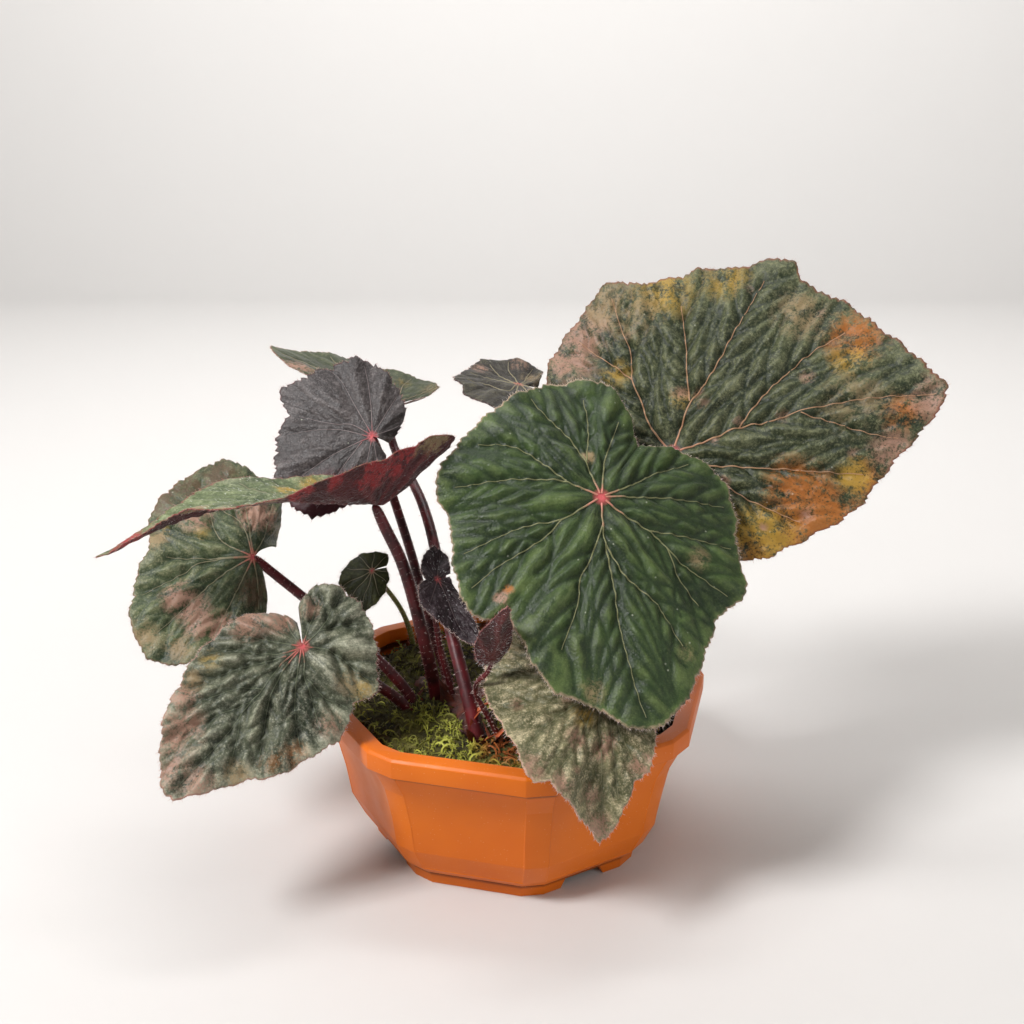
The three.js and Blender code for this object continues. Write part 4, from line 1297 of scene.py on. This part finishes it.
for number, (name, leaf) in enumerate(LEAVES.items()):
    rng = np.random.default_rng(SEED + number)
    plane = LeafPlane(leaf)
    fineness = SMALL_GRID if name in SMALL else leaf.get("grid", 1.0)
    sheet, outline, lines, grid = shape_blade(name, leaf, plane, fineness, rng)
    faces = [list(face.vertices) for face in sheet.data.polygons]
    surface = BVHTree.FromPolygons(grid.reshape(-1, 3).tolist(), faces)
    for material in (UPPER[name], UNDERSIDE):
        sheet.data.materials.append(material)
    close_and_thicken(sheet)
    stoutness = leaf.get("cord", 1) * fineness ** FINE_VEINS
    veins = lay_veins(name + "_veins", lines, surface, plane, outline, stoutness)
    veins.data.materials.append(VEINS.get(name, VEINS["other"]))
    redness = REDNESS.get(name, USUAL_REDNESS)
    roots = margin_roots(grid, MARGIN_GAP * fineness, rng)
    parts = [leaf_hairs(name + "_hairs", hair, roots, plane, MARGIN_HAIR, redness, rng)]
    if name in DOWNY:
        count, length = DOWNY[name]
        roots = downy_roots(grid, count, rng)
        parts.append(leaf_hairs(name + "_down", down, roots, plane, length, redness, rng))
    finish_piece(join(sheet, veins, *parts), name + "_leaf", SLOTS[name], "blade_" + name)

# %% [markdown]
# ## Stalks
#
# The stalks are juicy round rods, dark wine red and covered with pale hairs, and only the
# youngest one is still green. The solid gives each one seven sides. A copy of it is rounded
# with a Subdivision modifier, which always draws a shape in a little, so the rod is then
# fattened back to its real girth.

# %% Stalk finish
WINE_STALK = two_toned(
    "wine red stalk", 0.42, (120, 4, 0.35, 0.68), seen(54, 11, 17), seen(104, 26, 32),
    (700, 3, 0.0003, 0.5),
)
GREEN_STALK = two_toned(
    "young green stalk", 0.45, (200, 3, 0.3, 0.7), seen(96, 104, 44), seen(130, 128, 60)
)

# %% Stalk shapes
ROUNDING_LOSS = 0.115  # share of the radius that rounding takes from seven sides
STALK_GIRTH = {
    "front": 3.5, "tall": 3.5, "rim": 2.5, "low": 2.75, "left": 2.7, "wing": 3.3,
    "silver": 2.55, "plate": 3.0, "back": 2.55, "olive": 1.5, "maroon": 1.6, "bud": 1.4,
}
HAIRS_EACH = 420
HAIR_LENGTHS = (0.8, 2.2)
HAIR_TONES = (0, 0.6)
SOIL_LINE = POT_TOP - 8 * MM  # no hairs grow below it
STALK_SEED = SEED + 100


def round_stalk(name):
    """A copy of a solid stalk, rounded and fattened back to its girth."""
    stalk = copy_of_node("stalk_" + name)
    open_mesh(stalk)
    bpy.ops.mesh.tris_convert_to_quads(
        face_threshold=math.radians(60), shape_threshold=math.radians(80)
    )
    close_mesh()
    apply_modifier(stalk, "SUBSURF", levels=2, render_levels=2)
    open_mesh(stalk)
    bpy.ops.transform.shrink_fatten(value=ROUNDING_LOSS * STALK_GIRTH[name] * MM)
    close_mesh()
    bpy.ops.object.shade_smooth()
    return stalk


def stalk_hairs(name, stalk, rng):
    """Hairs on faces chosen at random, where they show above the soil."""
    faces = stalk.data.polygons
    chosen = rng.choice(len(faces), min(HAIRS_EACH, len(faces)), replace=False)
    matrices, tones = [], []
    for face in (faces[int(i)] for i in chosen):
        if face.center.z < SOIL_LINE:
            continue
        direction = np.array(face.normal) + rng.normal(0, 0.3, 3)
        length = rng.uniform(*HAIR_LENGTHS) * MM
        matrices.append(pointing(face.center, direction, length, HAIR_WIDTH))
        tones.append(rng.uniform(*HAIR_TONES))
    return scatter(name + "_stalk_hairs", hair_pattern, matrices, tones, hair.material)


for name in LEAVES:
    rng = np.random.default_rng(STALK_SEED + len(name))
    stalk = round_stalk(name)
    hairs = stalk_hairs(name, stalk, rng)
    stalk.data.materials.append(GREEN_STALK if name == "olive" else WINE_STALK)
    finish_piece(join(stalk, hairs), name + "_stalk", "stalk", "stalk_" + name)

# %% [markdown]
# ## Soil, moss and rhizome
#
# Soil keeps its solid and gets a crumbly finish, since little of it shows. The moss is a
# rough cushion from a copy of its solid, and over it lie loose strands: one curl and one sprig
# are modelled, and each is copied more than a thousand times. The rhizome is the old creeping
# stem, lumpy and brown, with papery bracts.

# %% Soil
SOIL = two_toned(
    "damp potting soil", 0.9, (350, 5, 0.35, 0.7), seen(28, 20, 14), seen(66, 48, 34),
    (500, 5, 0.002, 0.9),
)
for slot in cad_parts["soil"].material_slots:
    slot.material = SOIL
print("the soil keeps its solid")

# %% Moss cushion
LUMP_SIZE = 6 * MM
LUMP_HEIGHT = 2.8 * MM
MOSS_SKIN = two_toned(
    "mossy cushion", 0.95, (45, 4, 0.4, 0.62), seen(30, 24, 12), seen(98, 94, 34),
    (600, 5, 0.002, 1.0),
)

moss = copy_of_node("moss")
apply_modifier(moss, "SUBSURF", levels=2, render_levels=2, subdivision_type="SIMPLE")
lumps = bpy.data.textures.new("moss lumps", "CLOUDS")
lumps.noise_scale = LUMP_SIZE
apply_modifier(
    moss, "DISPLACE", texture=lumps, strength=LUMP_HEIGHT, mid_level=0.5, texture_coords="LOCAL"
)
bpy.ops.object.shade_smooth()
moss.data.materials.append(MOSS_SKIN)
finish_piece(moss, "moss_cushion", "moss", "moss")

# %% Moss curls and sprigs
SPRIG_LEAVES = 7
SPRIG_TURN = 137  # degrees from one leaf of a sprig to the next
SPRIG_LEAN = 55
LOWEST_LEAF = 0.2
TOP_LEAF = 0.98


def sprig_pattern():
    """A short stem of height 1 with little scale leaves all round it."""
    parts = [cone(4, 0.05, 0.02)]
    for k in range(SPRIG_LEAVES):
        scale_leaf = cone(3, 0.07, 0, 0.3)
        height = LOWEST_LEAF + (TOP_LEAF - LOWEST_LEAF) * k / (SPRIG_LEAVES - 1)
        lean = Matrix.Rotation(math.radians(SPRIG_LEAN), 4, "X")
        around = Matrix.Rotation(math.radians(SPRIG_TURN * k), 4, "Z")
        scale_leaf.data.transform(Matrix.Translation((0, 0, height)) @ around @ lean)
        parts.append(scale_leaf)
    return join(*parts)


sprig = sprig_pattern()
curl = add(
    bpy.ops.mesh.primitive_torus_add, major_segments=12, minor_segments=3,
    major_radius=1, minor_radius=0.15,
)
print("a curl of", len(curl.data.polygons), "faces and a sprig of", len(sprig.data.polygons))

# %% Moss strands
CURLS = 1300
CURL_SIZES = (0.8, 3.8)  # millimetres
SPRIGS = 1200
SPRIG_SIZES = (3.5, 8.5)
CUSHION = 88  # half of the square that is strewn, in millimetres
FRESHEST = (-20, -62)  # from the middle of the pot's foot, in millimetres
FRESH_REACH = 42
RUSTY_PLACE = POT + Vector((-2, -66, 80)) * MM
MOSS_SEED = SEED + 7

fresh_moss = Finish("sphagnum strands", 0.7)
moss_green = fresh_moss.mix(fresh_moss.attribute("tone"), seen(56, 46, 20), seen(186, 188, 78))
rusty = fresh_moss.near(RUSTY_PLACE, 0.009, 0.02)
fresh_moss.colour(fresh_moss.mix(rusty, moss_green, seen(156, 84, 30)))
moss_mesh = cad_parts["moss"].data
moss_tree = BVHTree.FromPolygons(
    [vertex.co for vertex in moss_mesh.vertices], [list(f.vertices) for f in moss_mesh.polygons]
)


def strew(name, pattern, count, sizes, upright, rng):
    """Copies of a pattern over the cushion, freshest near the front rim."""
    matrices, tones = [], []
    while len(matrices) < count:
        x, y = rng.uniform(-CUSHION, CUSHION, 2)
        above = POT + Vector((x, y, 0)) * MM + Vector((0, 0, POT_TOP + 0.05))
        hit = moss_tree.ray_cast(above, DOWNWARD)[0]
        if hit is None:
            continue
        lean = np.array([*rng.normal(0, 1, 2), rng.uniform(*upright)])
        size = rng.uniform(*sizes) * MM
        squash = rng.uniform(0.5, 1)
        matrices.append(pointing(hit, lean, size * squash, size, rng.uniform(0, 6)))
        away = math.hypot(x - FRESHEST[0], y - FRESHEST[1])
        fresh = math.exp(-(away / FRESH_REACH) ** 2)
        tones.append(np.clip(fresh + rng.normal(0, 0.3), 0, 1))
    return scatter(name, pattern, matrices, tones, fresh_moss.material)


rng = np.random.default_rng(MOSS_SEED)
strands = strew("moss_strands", curl, CURLS, CURL_SIZES, (-0.6, 0.6), rng)
strands = join(strands, strew("moss_sprigs", sprig, SPRIGS, SPRIG_SIZES, (0.1, 1.2), rng))
finish_piece(strands, "moss_strands", "moss")

# %% Rhizome
BARK = two_toned(
    "brown rhizome bark", 0.65, (150, 5, 0.38, 0.66), seen(44, 14, 10), seen(98, 42, 26),
    (420, 5, 0.0012, 0.9),
)
rhizome = copy_of_node("rhizome")
apply_modifier(rhizome, "REMESH", mode="VOXEL", voxel_size=0.9 * MM)
apply_modifier(rhizome, "SMOOTH", factor=0.5, iterations=3)
bpy.ops.object.shade_smooth()
rhizome.data.materials.append(BARK)
finish_piece(rhizome, "creeping_stem", "rhizome", "rhizome")

# %% Papery bracts round the foot of each stalk
BRACTS_EACH = 5
BRACT_SIZES = (7, 15)  # millimetres
BRACT_LINE = POT_TOP - 14 * MM
LONG_BRACT = 18 * MM
LONG_BRACTS = (  # place from the middle of the pot's foot, in millimetres, and direction
    ((-18, -54, 90), (0.65, -0.2, 1.0)), ((-17, -52, 93), (0.9, -0.1, 0.7)),
    ((-12, -62, 82), (0.5, -0.5, 0.6)), ((-8, -60, 82), (0.8, 0.1, 0.8)),
)
BRACT_SEED = SEED + 31

paper = Finish("papery bracts", 0.6)
paper.colour(paper.mix(paper.attribute("tone"), seen(78, 26, 16), seen(176, 84, 44)))
paper.bump(paper.noise(900, 3), 0.0006, 0.7)

bract = cone(8, 0.3, flatness=0.16)
rng = np.random.default_rng(BRACT_SEED)
matrices, tones = [], []
for name in LEAVES:
    corners = [vertex.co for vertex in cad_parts["stalk_" + name].data.vertices]
    foot = min(corners, key=lambda corner: abs(corner.z - BRACT_LINE))
    for _ in range(BRACTS_EACH):
        lean = (*rng.normal(0, 0.6, 2), 1)
        place = foot + Vector((*rng.normal(0, 3, 2), -2)) * MM
        size = rng.uniform(*BRACT_SIZES) * MM
        matrices.append(pointing(place, lean, size, size, rng.uniform(0, 6)))
        tones.append(rng.uniform(0, 1))
for place, lean in LONG_BRACTS:
    matrices.append(pointing(POT + Vector(place) * MM, lean, LONG_BRACT, LONG_BRACT / 2))
    tones.append(1.0)
bracts = scatter("papery_bracts", bract, matrices, tones, paper.material)
finish_piece(bracts, "papery_bracts", "rhizome")

# %% Put the patterns away
for pattern in (hair_pattern, sprig, curl, bract):
    bpy.data.objects.remove(pattern)

bpy.context.view_layer.update()
